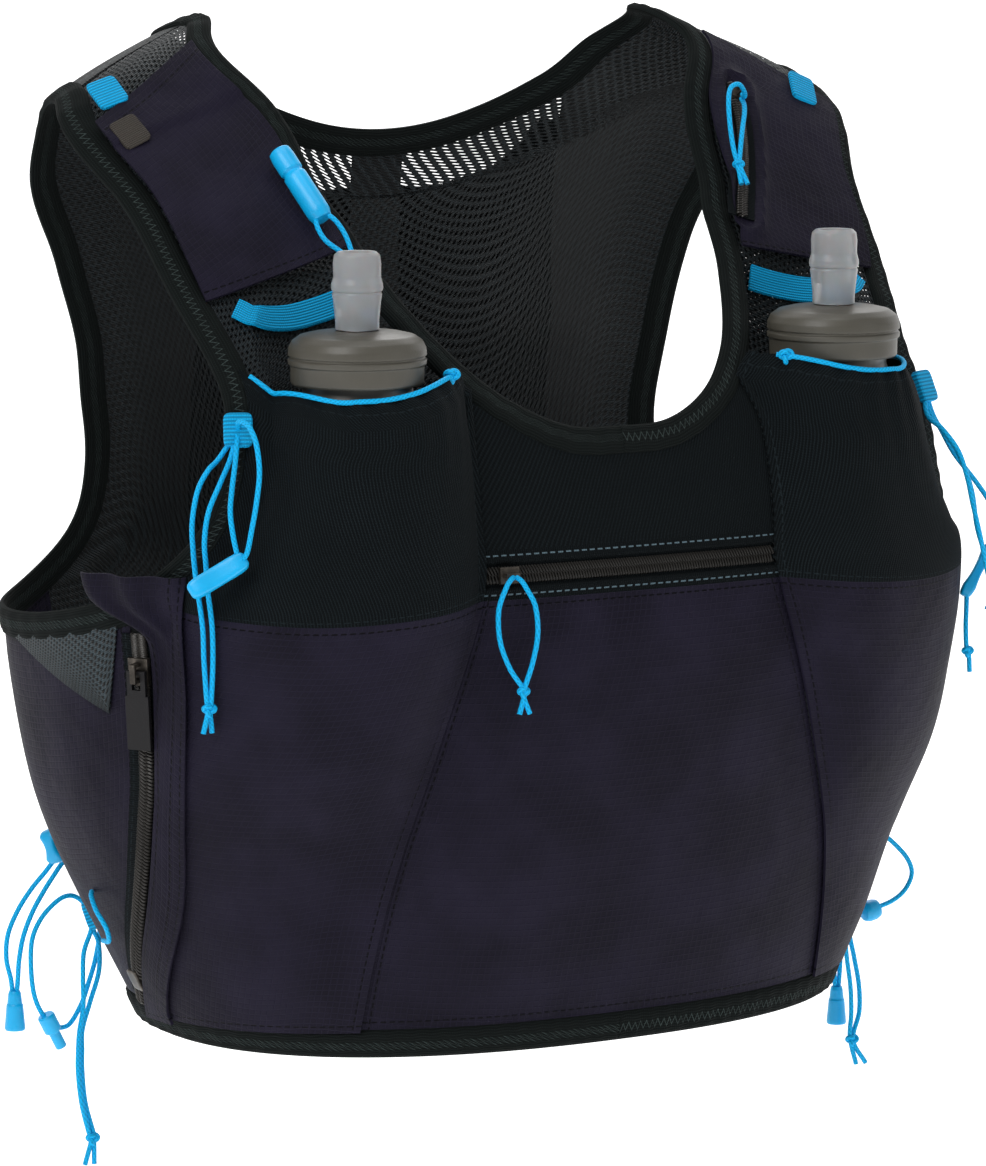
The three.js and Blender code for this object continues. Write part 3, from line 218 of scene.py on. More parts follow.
# Pattern lines: each is a function of a parameter from 0 to 1 that gives angle and height
def smooth(stops, closed=False):
    """A Catmull-Rom curve through the stops, even in its parameter from 0 to 1."""
    stops = np.asarray(stops, float)
    count = len(stops)
    if closed:
        padded = np.concatenate([stops[-1:], stops, stops[:2]])
        spans = count
    else:
        padded = np.concatenate([[2 * stops[0] - stops[1]], stops, [2 * stops[-1] - stops[-2]]])
        spans = count - 1

    def at(t):
        t = np.asarray(t, float)
        t = t - np.floor(t) if closed else np.clip(t, -0.01, 1.01)
        i = np.clip(np.floor(t * spans).astype(int), 0, spans - 1)
        w = (t * spans - i)[..., None]
        before, here, there, after = (padded[i + k] for k in range(4))
        out = 0.5 * (there - before)
        arrive = 0.5 * (after - here)
        bend = 3 * (there - here) - 2 * out - arrive
        twist = 2 * (here - there) + out + arrive
        return here + w * out + w**2 * bend + w**3 * twist

    return at


def line(stops, closed=False):
    """A pattern line through stops of angle and share of HEIGHT."""
    return smooth([(angle, -share * HEIGHT) for angle, share in stops], closed)


def stretch(at, start, end):
    """The piece of a line between two of its parameters, run through from 0 to 1."""
    return lambda t: at(start + (end - start) * np.asarray(t, float))


def straight(start, end):
    """The straight line between two places."""
    start, end = np.asarray(start, float), np.asarray(end, float)
    return lambda t: start + (end - start) * np.asarray(t, float)[..., None]


def mirrored(at):
    """The same line on the wearer's other side."""
    return lambda t: at(t) * np.array([-1, 1])


def around(at):
    """The same line on the wearer's other side, at angles past the middle of the back."""
    return lambda t: at(t) * np.array([-1, 1]) + np.array([360, 0])


def joined(*parts):
    """Lines end to end, each with its share of the parameter."""
    def at(t):
        t = np.asarray(t, float)
        out = np.zeros(t.shape + (2,))
        start = 0.0
        for k, (part, share) in enumerate(parts):
            here = (t > start) | (k == 0)
            out = np.where(here[..., None], part((t - start) / share), out)
            start += share
        return out

    return at


def aside(at, distance, t):
    """Places on a line, moved across the form to the right of its travel as seen from outside."""
    ahead = form_point(*np.moveaxis(at(t + 0.002), -1, 0))
    behind = form_point(*np.moveaxis(at(t - 0.002), -1, 0))
    angle, z = np.moveaxis(at(t), -1, 0)
    across = unit(np.cross(ahead - behind, form_normal(angle, z)))
    return on_form(form_point(angle, z) + across * np.asarray(distance)[..., None], angle)


def beside(at, distance):
    """A line moved across the form, to the right of its travel as seen from outside."""
    return lambda t: aside(at, distance, np.asarray(t, float))


HALVINGS = 36


def find(at, which, value, start=0.0, end=1.0):
    """The parameter at which the line's angle (0) or height (1) passes a value."""
    rising = at(end)[which] > at(start)[which]
    for _ in range(HALVINGS):
        middle = (start + end) / 2
        if (at(middle)[which] < value) == rising:
            start = middle
        else:
            end = middle
    return (start + end) / 2


def between(at, top, bottom):
    """The piece of a line between two heights."""
    return stretch(at, find(at, 1, top), find(at, 1, bottom))


def angle_at(at, z):
    """The line's angle at each height, read from samples along it."""
    samples = at(np.linspace(0, 1, 200))
    order = np.argsort(samples[:, 1])
    return np.interp(z, samples[order, 1], samples[order, 0])


def profile(stops):
    """A smooth rise and fall with height, from stops of share of HEIGHT and value."""
    samples = smooth([(-share * HEIGHT, value) for share, value in stops])(np.linspace(0, 1, 300))
    order = np.argsort(samples[:, 0])
    return lambda z: np.interp(z, samples[order, 0], samples[order, 1])


def patch(top, bottom, left, right):
    """The surface between four lines: each side's blend, less the blend of the corners."""
    def place(u, v):
        across, down = u[..., None], v[..., None]
        near = (1 - down) * top(0.0) + down * bottom(0.0)
        far = (1 - down) * top(1.0) + down * bottom(1.0)
        corners = (1 - across) * near + across * far
        rows = (1 - down) * top(u) + down * bottom(u)
        return rows + (1 - across) * left(v) + across * right(v) - corners

    return place


def ribbon(at, width):
    """A band of one width, to the right of a line."""
    return lambda u, v: np.where((v > 0)[..., None], aside(at, width * v, u), at(u))


def on_side(place, sign):
    """A map on the wearer's left (1) or right (-1)."""
    return lambda u, v: place(u, v) * np.array([sign, 1])


def thicker(off, by):
    """A face that stands farther off the form."""
    return lambda angle, z: off(angle, z) + by


def flat(angle, z):
    """A face on the form itself."""
    return 0.0 * z


# Where the lines of the pattern run and meet
def neck_loop():
    """The neck edge, once round from the middle of the front."""
    whole = NECK + [(360 - angle, share) for angle, share in NECK[-2::-1]]
    at = line([(-NECK[1][0], NECK[1][1])] + whole + [(360 + NECK[1][0], NECK[1][1])])
    spans = len(whole) + 1
    return lambda t: at((1 + (np.asarray(t) - np.floor(t)) * (len(whole) - 1)) / spans)


neck_edge = neck_loop()
arm_edge = line(ARM, True)
neck_cloth = beside(neck_edge, UNDER_BINDING)
arm_cloth = beside(arm_edge, UNDER_BINDING)
front_seam = line(FRONT_SEAM)
side_zip = line(SIDE_ZIP)
hem_cloth = -HEIGHT + UNDER_BINDING
neck_ridge = find(neck_edge, 0, 90, 0, 0.5)


def arm_stop(k):
    """The arm edge's parameter at one of its stops."""
    return k / len(ARM)


yoke_corner = find(neck_cloth, 0, front_seam(0.0)[0] + 0.1, 0.03, neck_ridge)
seam_top = find(front_seam, 1, neck_cloth(yoke_corner)[1])
pouch_end = find(arm_cloth, 1, -0.545 * HEIGHT, arm_stop(4), arm_stop(7))
back_corner = find(arm_cloth, 0, 112, arm_stop(8), arm_stop(10.5))


def share_of(place):
    """A place on the form as angle and share of HEIGHT."""
    return (float(place[0]), float(-place[1] / HEIGHT))


back_seam = line([share_of(arm_cloth(back_corner)), (113.4, 0.72), (116, 0.972)])
pouch_line = line(POUCH_EDGE + [share_of(arm_cloth(pouch_end))])

# How a flask sits and presses on the cloth round it
flask_middle = profile([
    (0.24, 43), (0.34, 43), (0.44, 42.7), (0.55, 45.5), (0.65, 49), (0.75, 53), (0.85, 56)])
inward_reach = profile([
    (0.24, 14), (0.34, 14.3), (0.44, 14.8), (0.55, 17), (0.65, 15.5), (0.75, 12.8)])
outward_reach = profile([
    (0.24, 15), (0.3, 14), (0.34, 10.7), (0.4, 9.6), (0.44, 10.6), (0.472, 12), (0.5, 14.5),
    (0.55, 19), (0.75, 19)])
dent_depth = profile([
    (0.24, 0), (0.28, 0.7), (0.315, 1), (0.42, 0.8), (0.6, 0.5), (0.76, 0), (0.8, 0)])
bulge_height = profile([
    (0.3, 1.08), (0.36, 1), (0.45, 0.95), (0.56, 0.9), (0.68, 0.6), (0.78, 0.12), (0.84, 0)])
fullness = profile([(0.545, 0), (0.6, 0.6), (0.72, 1), (0.88, 0.7), (0.972, 0)])
back_fullness = profile([(0.19, 0.15), (0.3, 0.6), (0.6, 1), (0.85, 0.7), (0.972, 0)])
shoulder_puff = profile([(0.08, 0), (0.13, 0.8), (0.19, 1), (0.24, 0.7), (0.265, 0)])


def flask_share(angle, z):
    """1 at the middle of a flask, 0 where its bulge ends."""
    side = np.abs(angle) - flask_middle(z)
    reach = np.abs(side) / np.where(side < 0, inward_reach(z), outward_reach(z))
    return np.where(reach < 1, 1 - reach**3, 0)


def strap_face(angle, z):
    """The straps, pressed in behind the flasks."""
    return -FLASK_DENT * dent_depth(z) * flask_share(angle, z)


def pocket_face(angle, z):
    """The bottle and side pockets, pushed out by the flasks."""
    return TOP_LAYER + (FLASK_FRONT - TOP_LAYER) * bulge_height(z) * flask_share(angle, z)


def pouch_face(angle, z):
    """The centre pouch, fullest in its middle."""
    share = np.minimum(1, np.abs(angle / angle_at(front_seam, z)))
    return POUCH_PUFF * fullness(z) * (1 - share**3)


def back_face(angle, z):
    """The back pocket over the mesh."""
    return TOP_LAYER + 0.0018 + BACK_PUFF * back_fullness(z)


def shoulder_face(angle, z):
    """The shoulder pockets over the straps."""
    return TOP_LAYER + 0.0008 + SHOULDER_PUFF * shoulder_puff(z)


# Meshes
WAVES = 5  # plane waves summed in a crease
EDGE_RISE = 9  # creases reach their height a ninth of the way in
FEWEST_CELLS = (8, 6)  # of a cloth surface, across and down
MOST_CELLS = (190, 180)
SHARP_EDGE = math.radians(55)


def mesh_object(name, vertices, quads, near, far, material):
    """An object from whole arrays, with the distances from its edges in two UV layers, in millimetres."""
    mesh = bpy.data.meshes.new(name)
    mesh.vertices.add(len(vertices))
    mesh.vertices.foreach_set("co", vertices.astype(np.float32).ravel())
    mesh.loops.add(quads.size)
    mesh.loops.foreach_set("vertex_index", quads.astype(np.int32).ravel())
    mesh.polygons.add(len(quads))
    mesh.polygons.foreach_set("loop_start", np.arange(0, quads.size, 4, dtype=np.int32))
    mesh.polygons.foreach_set("use_smooth", np.ones(len(quads), bool))
    mesh.update(calc_edges=True)
    for layer, values in (("near", near), ("far", far)):
        data = mesh.uv_layers.new(name=layer)
        data.data.foreach_set("uv", (values[quads.ravel()] * 1000).astype(np.float32).ravel())
    mesh.set_sharp_from_angle(angle=SHARP_EDGE)
    mesh.materials.append(material)
    made = bpy.data.objects.new(name, mesh)
    bpy.context.scene.collection.objects.link(made)
    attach(made, "vest")
    return made


def grid_quads(rows, columns, start=0, flip=False):
    """The faces of a grid of vertices, seen from outside unless flipped."""
    at = start + np.arange(rows * columns).reshape(rows, columns)
    quads = np.stack([at[:-1, :-1], at[1:, :-1], at[1:, 1:], at[:-1, 1:]], -1).reshape(-1, 4)
    return quads[:, ::-1] if flip else quads


def closed_shell(name, outer, inner, material):
    """Two grids of points joined round their rims into one closed body."""
    rows, columns = outer.shape[:2]

    def run(axis):
        steps = np.linalg.norm(np.diff(outer, axis=axis), axis=-1)
        total = np.cumsum(steps, axis=axis)
        return np.concatenate([np.zeros_like(np.take(total, [0], axis)), total], axis)

    def rim(edge):
        return np.stack([edge[:-1], edge[1:], edge[1:] + count, edge[:-1] + count], -1)

    s, t = run(1), run(0)
    near = np.stack([s, t], -1).reshape(-1, 2)
    far = np.stack([s[:, -1:] - s, t[-1:] - t], -1).reshape(-1, 2)
    count = rows * columns
    top = np.arange(columns)
    bottom = top + (rows - 1) * columns
    left = np.arange(rows) * columns
    right = left + columns - 1
    quads = np.concatenate([
        grid_quads(rows, columns), grid_quads(rows, columns, count, True),
        rim(top), rim(bottom)[:, ::-1], rim(left)[:, ::-1], rim(right)])
    vertices = np.concatenate([outer.reshape(-1, 3), inner.reshape(-1, 3)])
    return mesh_object(name, vertices, quads, np.tile(near, (2, 1)), np.tile(far, (2, 1)), material)


def spans(points):
    """The lengths of a grid's rows and of its columns."""
    across = np.linalg.norm(np.diff(points, axis=1), axis=-1).sum(1)
    down = np.linalg.norm(np.diff(points, axis=0), axis=-1).sum(0)
    return across, down


def cloth(name, place, face, material, node=None, thick=CLOTH, cells=None, relief=None):
    """Cloth over a map of the form: its inner face is face() off the form, moved by its relief."""
    if cells is None:
        rough = form_point(*np.moveaxis(place(*np.meshgrid(*[np.linspace(0, 1, 9)] * 2)), -1, 0))
        counts = [lengths.max() / settings().cell for lengths in spans(rough)]
        cells = np.clip(counts, FEWEST_CELLS, MOST_CELLS).astype(int)
    u, v = np.meshgrid(np.linspace(0, 1, cells[0] + 1), np.linspace(0, 1, cells[1] + 1))
    angle, z = np.moveaxis(place(u, v), -1, 0)
    base = form_point(angle, z)
    normal = form_normal(angle, z)
    off = face(angle, z)
    lift = relief(u, v, base) if relief else 0 * u
    outer = base + normal * (off + thick + lift)[..., None]
    made = closed_shell(name, outer, base + normal * (off + lift)[..., None], material)
    if node:
        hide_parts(node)
    return made


def waves(points, size, seed):
    """Soft creases: a sum of plane waves of about one size."""
    rng = np.random.default_rng(seed)
    total = 0
    for _ in range(WAVES):
        direction = unit(rng.normal(size=3))
        phase = rng.uniform(0, 2 * np.pi)
        total = total + np.sin(points @ direction * 2 * np.pi / (size * rng.uniform(0.7, 1.5)) + phase)
    return total / WAVES


def edges(u, v):
    """0 at a cloth's four edges, rising to 1 a little way in."""
    inside = np.minimum(np.minimum(u, 1 - u), np.minimum(v, 1 - v))
    return np.clip(inside * EDGE_RISE, 0, 1)


def creased(height, size, seed):
    """A relief of soft creases that fade at a cloth's edges."""
    return lambda u, v, points: height * waves(points, size, seed) * edges(u, v)


# Cord routes: each strand's points in millimetres, and each knot's place and radius in metres
ROUTES = {
    "chest_cord_right": [
        [(-155, -128, -150.5), (-160.5, -130.5, -154), (-165, -131, -161), (-167.5, -131.5, -172),
         (-167.5, -132, -182), (-166.5, -132.5, -194), (-165, -134, -209), (-164.5, -134, -222),
         (-163.5, -134, -236), (-163, -134, -240), (-165, -134, -248)],
        [(-152.5, -132, -150.5), (-158.5, -136, -158), (-163.5, -136.5, -168), (-165.5, -137, -178),
         (-165, -137, -187), (-164, -136.5, -197), (-162.5, -136.5, -209), (-162, -136, -222),
         (-162, -134.5, -236), (-162, -133.5, -240), (-161, -133, -248)],
    ],
    "chest_hook_right": [
        [(-150, -134, -137), (-150.5, -142, -137.5), (-151, -149, -143), (-151, -151.5, -153),
         (-152, -151, -164), (-153.5, -150, -174), (-155.5, -150, -182), (-157, -147, -185)],
        [(-153, -137, -150.5), (-156.5, -141, -160), (-158.5, -143.5, -168), (-158.5, -146, -177),
         (-157, -147, -185)],
    ],
    "chest_cord_left": [
        [(144, -135.5, -150.5), (147, -142, -156), (152, -145, -164), (155.5, -146, -174),
         (157.5, -147, -184), (160, -148, -195), (163.5, -147, -206), (168, -145, -218),
         (169, -145, -220), (166, -145, -226)],
        [(147, -133, -150.5), (151, -138, -158), (156, -140.5, -167), (160.5, -142, -180),
         (162.5, -143, -194), (166, -144, -206), (169, -144.5, -218), (170, -145, -220),
         (173, -145, -227)],
    ],
    "chest_hook_left": [
        [(150, -130, -150.5), (154, -131, -158), (159, -132.5, -167), (168, -134, -178),
         (174, -135.5, -187), (177, -136, -195), (176, -136, -201), (173, -136, -205)],
        [(163, -136, -219), (162.5, -136.5, -226), (162, -137, -234), (162.5, -137, -242),
         (163.5, -137, -244), (164, -137, -251)],
    ],
    "hem_cord_right": [
        [(-137.5, 16, -349), (-140.5, 16, -357), (-141, 16, -367), (-141, 16, -378),
         (-142.5, 16.5, -388), (-143, 16.8, -396), (-143, 16.8, -405), (-141.5, 17, -417),
         (-138, 18, -429), (-137, 18, -431), (-140, 18, -441)],
        [(-134.5, 20, -349), (-132, 20.5, -355), (-132, 20.5, -366), (-136, 20.5, -378),
         (-139.5, 20, -388), (-140, 19.5, -396), (-140, 19.5, -405), (-138.8, 19.5, -417),
         (-136, 18.4, -429), (-136, 18, -431), (-136, 18, -441)],
    ],
    "hem_toggle_right": [
        [(-141.5, 19, -336), (-147, 19, -335), (-153, 19, -338.5), (-158, 19, -344), (-161, 19, -351),
         (-161.5, 19, -361), (-160.5, 19, -371), (-158, 19, -378), (-154.5, 18.5, -383)],
        [(-139, 23.5, -331.5), (-134, 24, -335), (-130.5, 24.5, -342), (-129.5, 24.5, -351),
         (-131.5, 24.5, -362), (-134.5, 24.5, -371), (-138, 24, -379), (-144, 22.5, -386),
         (-151, 20, -386), (-154.5, 18.5, -384.5)],
    ],
    "hem_cord_left": [
        [(158, -56, -341), (162.5, -57, -347), (161.5, -58, -355), (160.5, -58, -366), (161, -58, -376),
         (163, -58, -389), (163.5, -58, -400), (163, -58, -410), (166, -58, -421)],
        [(161, -54, -341), (166, -55, -346), (165, -56, -355), (163.5, -56, -366), (166, -56, -378),
         (168, -56.5, -389), (168, -57, -400), (164.5, -58, -411), (170.5, -58, -421)],
    ],
    "hem_toggle_left": [
        [(166, -50, -325), (168, -52, -321), (171, -54, -322.5), (178, -56, -328), (185, -57, -334),
         (190, -58, -340), (192, -58, -346), (189, -58, -352), (183, -58, -356), (174, -58, -358.5)],
    ],
    "cinch_cord_right": [
        [(-146, 25, -318.3), (-151, 25.5, -325), (-157.5, 26, -332), (-163.5, 26, -340),
         (-168, 25.5, -349), (-169, 25, -358), (-167.6, 24.2, -366), (-167, 24, -372)],
        [(-143, 22.8, -318.3), (-148, 22.8, -325), (-153.5, 22.5, -332), (-159, 22, -340),
         (-163, 22, -349), (-165, 22, -358), (-165.4, 22.6, -366), (-165.8, 23, -372)],
    ],
    "cinch_cord_left": [
        [(165, -30, -325.4), (165.5, -33, -335), (163, -38, -350), (163, -42, -365),
         (163.5, -44.5, -380), (164.4, -45, -393)],
        [(164, -27, -325.4), (168, -31, -336), (168, -37, -350), (168, -42, -365), (167, -44.5, -380),
         (165.8, -45, -393)],
    ],
    "front_zip_pull": [
        [(-54.8, -164.2, -195.8), (-57.3, -166.4, -196.4), (-59.5, -167, -199), (-62.5, -167, -207),
         (-62.5, -168, -218), (-59, -169, -228), (-54, -169, -235), (-53, -169, -238),
         (-55, -169, -245)],
        [(-53.5, -164.2, -195.8), (-52.8, -166.8, -197), (-51.5, -168.5, -200), (-49, -170, -206),
         (-48, -170, -216), (-50, -170, -226), (-53, -169.5, -235), (-53.5, -169, -238),
         (-51, -169.5, -245)],
    ],
    "shoulder_zip_pull": [
        [(109.2, -58, -31.8), (108.2, -61.2, -32.5), (106.8, -63.2, -30.5), (103.5, -64.5, -27.5),
         (99.5, -65.2, -28.5), (96, -69, -33), (93.5, -74, -42), (92, -79, -51), (91.5, -83, -57),
         (90, -88, -64)],
        [(108.8, -58, -33.5), (107.2, -62.5, -35.5), (104.5, -67, -38.5), (101, -71.5, -42.5),
         (97.5, -76, -47), (94, -80.5, -53), (92, -83.5, -57), (92.5, -88.5, -64)],
    ],
    "half_ring_cord": [
        [(-167, -46, -320), (-169.5, -51, -321), (-170.5, -57, -325), (-168.5, -61, -331),
         (-165, -56, -337), (-162.5, -46, -339)],
    ],
    "whistle": [
        [(-95, -90, -68), (-97, -94.5, -72), (-96, -99, -77), (-92, -103, -81), (-88.5, -105, -84)],
        [(-93, -92, -67.5), (-90.5, -96, -70), (-88.5, -100, -75), (-88, -104, -81), (-87.5, -105, -84)],
    ],
}
KNOTS = {
    "chest_cord_right": ((-0.1625, -0.134, -0.2395), 0.003),
    "chest_cord_left": ((0.169, -0.145, -0.2195), 0.003),
    "chest_hook_left": ((0.163, -0.137, -0.243), 0.0026),
    "hem_cord_right": ((-0.1365, 0.018, -0.431), 0.003),
    "hem_cord_left": ((0.164, -0.058, -0.411), 0.003),
    "front_zip_pull": ((-0.0533, -0.169, -0.237), 0.0026),
    "shoulder_zip_pull": ((0.0918, -0.083, -0.057), 0.0026),
    "whistle": ((-0.088, -0.105, -0.084), 0.0026),
}


# Materials: lengths on a cloth are in millimetres, as in its UV layers
STITCH_WIDTH = 0.62
STITCH_PITCH = 3.3
STITCH_SHARE = 0.64  # of the pitch under thread
SOFT_STEP = 0.08
HEX_ROW = 0.866  # of the pitch, from one row of holes to the next
RIPSTOP_PITCH = 2.4
ZIGZAG_STEP = 1.3
ZIGZAG_SLOPE = 2.3
ZIGZAG_REACH = 1.5
RIB_PITCH = 1.1
PICK_PITCH = 0.9


class Graph:
    """A node material in the making: arithmetic on sockets, ending in a principled surface."""

    def __init__(self, name):
        self.material = bpy.data.materials.new(name)
        self.material.use_nodes = True
        self.tree = self.material.node_tree
        self.tree.nodes.clear()

    def node(self, kind, **values):
        made = self.tree.nodes.new(kind)
        for key, value in values.items():
            setattr(made, key, value)
        return made

    def put(self, socket, value):
        if isinstance(value, bpy.types.NodeSocket):
            self.tree.links.new(value, socket)
        else:
            socket.default_value = value

    def paint(self, socket, colour):
        self.put(socket, colour if isinstance(colour, bpy.types.NodeSocket) else (*colour, 1))

    def math(self, operation, a, b=0.0, c=0.0):
        made = self.node("ShaderNodeMath", operation=operation)
        for socket, value in zip(made.inputs, (a, b, c)):
            self.put(socket, value)
        return made.outputs[0]

    def uv(self, layer):
        """The distances from two of a cloth's edges: its left and top ones, or its right and bottom ones."""
        split = self.node("ShaderNodeSeparateXYZ")
        self.put(split.inputs[0], self.node("ShaderNodeUVMap", uv_map=layer).outputs[0])
        return split.outputs[0], split.outputs[1]

    def places(self):
        return self.node("ShaderNodeTexCoord").outputs["Object"]

    def noise(self, size, detail=3.0):
        """Noise in the object's own places, its features of about the given size in metres."""
        made = self.node("ShaderNodeTexNoise")
        self.put(made.inputs["Vector"], self.places())
        made.inputs["Scale"].default_value = 1 / size
        made.inputs["Detail"].default_value = detail
        return made.outputs["Fac"]

    def wave(self, coordinate, pitch):
        """0 to 1 and back once every pitch."""
        turn = self.math("COSINE", self.math("MULTIPLY", coordinate, 2 * math.pi / pitch))
        return self.math("MULTIPLY_ADD", turn, 0.5, 0.5)

    def band(self, coordinate, middle, width):
        """1 within half a width of the middle, 0 outside, with a soft step."""
        off = self.math("ABSOLUTE", self.math("SUBTRACT", coordinate, middle))
        return self.ramp(off, width / 2 + SOFT_STEP, width / 2 - SOFT_STEP)

    def ramp(self, value, low, high):
        """0 at low rising smoothly to 1 at high."""
        made = self.node("ShaderNodeMapRange", interpolation_type="SMOOTHSTEP")
        for socket, number in zip(made.inputs, (value, low, high, 0.0, 1.0)):
            self.put(socket, number)
        return made.outputs[0]

    def dash(self, coordinate, pitch, share):
        """1 in the first share of every pitch, 0 in the rest."""
        cell = self.math("FRACT", self.math("DIVIDE", coordinate, pitch))
        return self.math("LESS_THAN", cell, share)

    def mix(self, factor, a, b):
        made = self.node("ShaderNodeMix", data_type="RGBA")
        self.put(made.inputs[0], factor)
        self.paint(made.inputs[6], a)
        self.paint(made.inputs[7], b)
        return made.outputs[2]

    def surface(self, colour, height=0.0, depth=0.0003, alpha=1.0, **values):
        bump = self.node("ShaderNodeBump")
        bump.inputs["Distance"].default_value = depth
        bump.inputs["Strength"].default_value = 1.0
        self.put(bump.inputs["Height"], height)
        shader = self.node("ShaderNodeBsdfPrincipled")
        self.paint(shader.inputs["Base Color"], colour)
        self.put(shader.inputs["Normal"], bump.outputs[0])
        for key, value in values.items():
            self.put(shader.inputs[key.replace("_", " ").title().replace("Ior", "IOR")], value)
        out = self.node("ShaderNodeOutputMaterial")
        if isinstance(alpha, bpy.types.NodeSocket):
            clear = self.node("ShaderNodeBsdfTransparent")
            blend = self.node("ShaderNodeMixShader")
            self.put(blend.inputs[0], alpha)
            self.put(blend.inputs[1], clear.outputs[0])
            self.put(blend.inputs[2], shader.outputs[0])
            self.put(out.inputs[0], blend.outputs[0])
        else:
            self.put(out.inputs[0], shader.outputs[0])
        return self.material


def tone(colour, factor):
    """A colour made lighter or darker."""
    return tuple(min(1.0, channel * factor) for channel in colour)


def stitches(g, rows):
    """Running stitches along a cloth's edges: each row is an edge and its distance in from it."""
    s, t = g.uv("near")
    s_far, t_far = g.uv("far")
    lines = {"left": (s, t), "right": (s_far, t), "top": (t, s), "bottom": (t_far, s)}
    total = 0.0
    for edge, distance in rows:
        off, along = lines[edge]
        row = g.band(off, distance, STITCH_WIDTH)
        dashes = g.dash(along, STITCH_PITCH, STITCH_SHARE)
        total = g.math("MAXIMUM", total, g.math("MULTIPLY", row, dashes))
    return total


def ribbed(name, colour, pitch, lean=0.0, rows=(), contrast=1.9, thread_tone=3.0):
    """Stretch cloth in fine ribs that lean across it, with rows of stitching."""
    g = Graph(name)
    s, t = g.uv("near")
    across = g.math("MULTIPLY_ADD", t, lean, s)
    rib = g.wave(across, pitch)
    loop = g.wave(t, pitch * 0.8)
    thread = stitches(g, rows)
    knit = g.math("MULTIPLY_ADD", loop, 0.35, rib)
    shade = g.math("MULTIPLY", g.ramp(knit, 0.55, 1.3), g.math("MULTIPLY_ADD", g.noise(0.02), 0.8, 0.5))
    base = g.mix(shade, tone(colour, 0.75), tone(colour, contrast))
    base = g.mix(thread, base, tone(colour, thread_tone))
    height = g.math("MULTIPLY_ADD", thread, 1.3, knit)
    return g.surface(base, height, 0.00022, roughness=0.86, sheen_weight=0.01, specular_ior_level=0.07)


def hex_holes(g, pitch):
    """Bright spots on a hexagonal lattice of holes: three plane waves at 60 degrees."""
    s, t = g.uv("near")
    wave = 2 * math.pi / (pitch * HEX_ROW)
    total = 0.0
    for turn in (0, 60, 120):
        across = g.math("MULTIPLY", s, math.cos(math.radians(turn)) * wave)
        down = g.math("MULTIPLY", t, math.sin(math.radians(turn)) * wave)
        total = g.math("ADD", total, g.math("COSINE", g.math("ADD", across, down)))
    return total


def meshed(name, colour, pitch, open_share, glint=4.0, lined=()):
    """Open warp-knit mesh: hexagonal holes let light through, but for a lining outside a range of |x|. Its
    colour holds a painted highlight on the yarn and painted shade in the lined holes.
    """
    g = Graph(name)
    spots = hex_holes(g, pitch)
    hole = g.ramp(spots, open_share, open_share + 0.35)
    yarn = g.wave(g.uv("near")[1], pitch / 3)
    ridge = g.ramp(spots, open_share, -1.2)
    shine = g.math("MULTIPLY", ridge, g.math("MULTIPLY_ADD", yarn, 0.6, g.noise(0.004)))
    # painted highlight: the yarn ridges lighten towards glint times the colour
    base = g.mix(shine, tone(colour, 0.6), tone(colour, glint))
    # painted shade: the holes are darkened to a fifth of the colour, where the lining shows through them
    base = g.mix(hole, base, tone(colour, 0.2))
    if lined:
        x = g.node("ShaderNodeSeparateXYZ")
        g.put(x.inputs[0], g.places())
        off = g.math("ABSOLUTE", x.outputs[0])
        beyond, within = g.math("GREATER_THAN", off, lined[0]), g.math("LESS_THAN", off, lined[1])
        hole = g.math("MULTIPLY", hole, g.math("MULTIPLY", beyond, within))
    solid = g.math("SUBTRACT", 1.0, hole)
    height = g.math("MULTIPLY_ADD", spots, -0.6, yarn)
    return g.surface(base, height, 0.0004, alpha=solid, roughness=0.55, specular_ior_level=0.3)


def ripstop(name, colour, rows):
    """Thin plain weave with a faint square grid of thicker threads, seams and fine wrinkles."""
    g = Graph(name)
    s, t = g.uv("near")
    bars = [g.ramp(g.wave(coordinate, RIPSTOP_PITCH), 0.86, 1.0) for coordinate in (s, t)]
    grid = g.math("MAXIMUM", *bars)
    thread = stitches(g, rows)
    mottle = g.noise(0.03, 5.0)
    base = g.mix(g.ramp(mottle, 0.3, 0.75), tone(colour, 0.72), tone(colour, 1.45))
    base = g.mix(g.math("MULTIPLY", grid, 0.35), base, tone(colour, 2.2))
    base = g.mix(thread, base, tone(colour, 0.25))
    height = g.math("MULTIPLY_ADD", g.noise(0.009, 4.0), 5.0, g.math("MULTIPLY_ADD", thread, 0.8, grid))
    return g.surface(base, height, 0.00018, roughness=0.6, sheen_weight=0.01, specular_ior_level=0.08)


def elastic(name, colour, width):
    """Woven elastic with a zigzag of stitching along it."""
    g = Graph(name)
    s, t = g.uv("near")
    fold = g.math("PINGPONG", s, ZIGZAG_STEP)
    middle = g.math("MULTIPLY_ADD", fold, ZIGZAG_SLOPE, width * 500 - ZIGZAG_REACH)
    zigzag = g.math("MULTIPLY", g.band(t, middle, 0.8), g.noise(0.003))
    rib = g.wave(t, RIB_PITCH)
    base = g.mix(g.math("MULTIPLY", rib, g.wave(s, PICK_PITCH)), tone(colour, 0.8), tone(colour, 2.0))
    base = g.mix(zigzag, base, tone(colour, 13.0))
    height = g.math("MULTIPLY_ADD", zigzag, 1.4, g.math("MULTIPLY", rib, 0.6))
    return g.surface(base, height, 0.0003, roughness=0.9, sheen_weight=0.01, specular_ior_level=0.08)


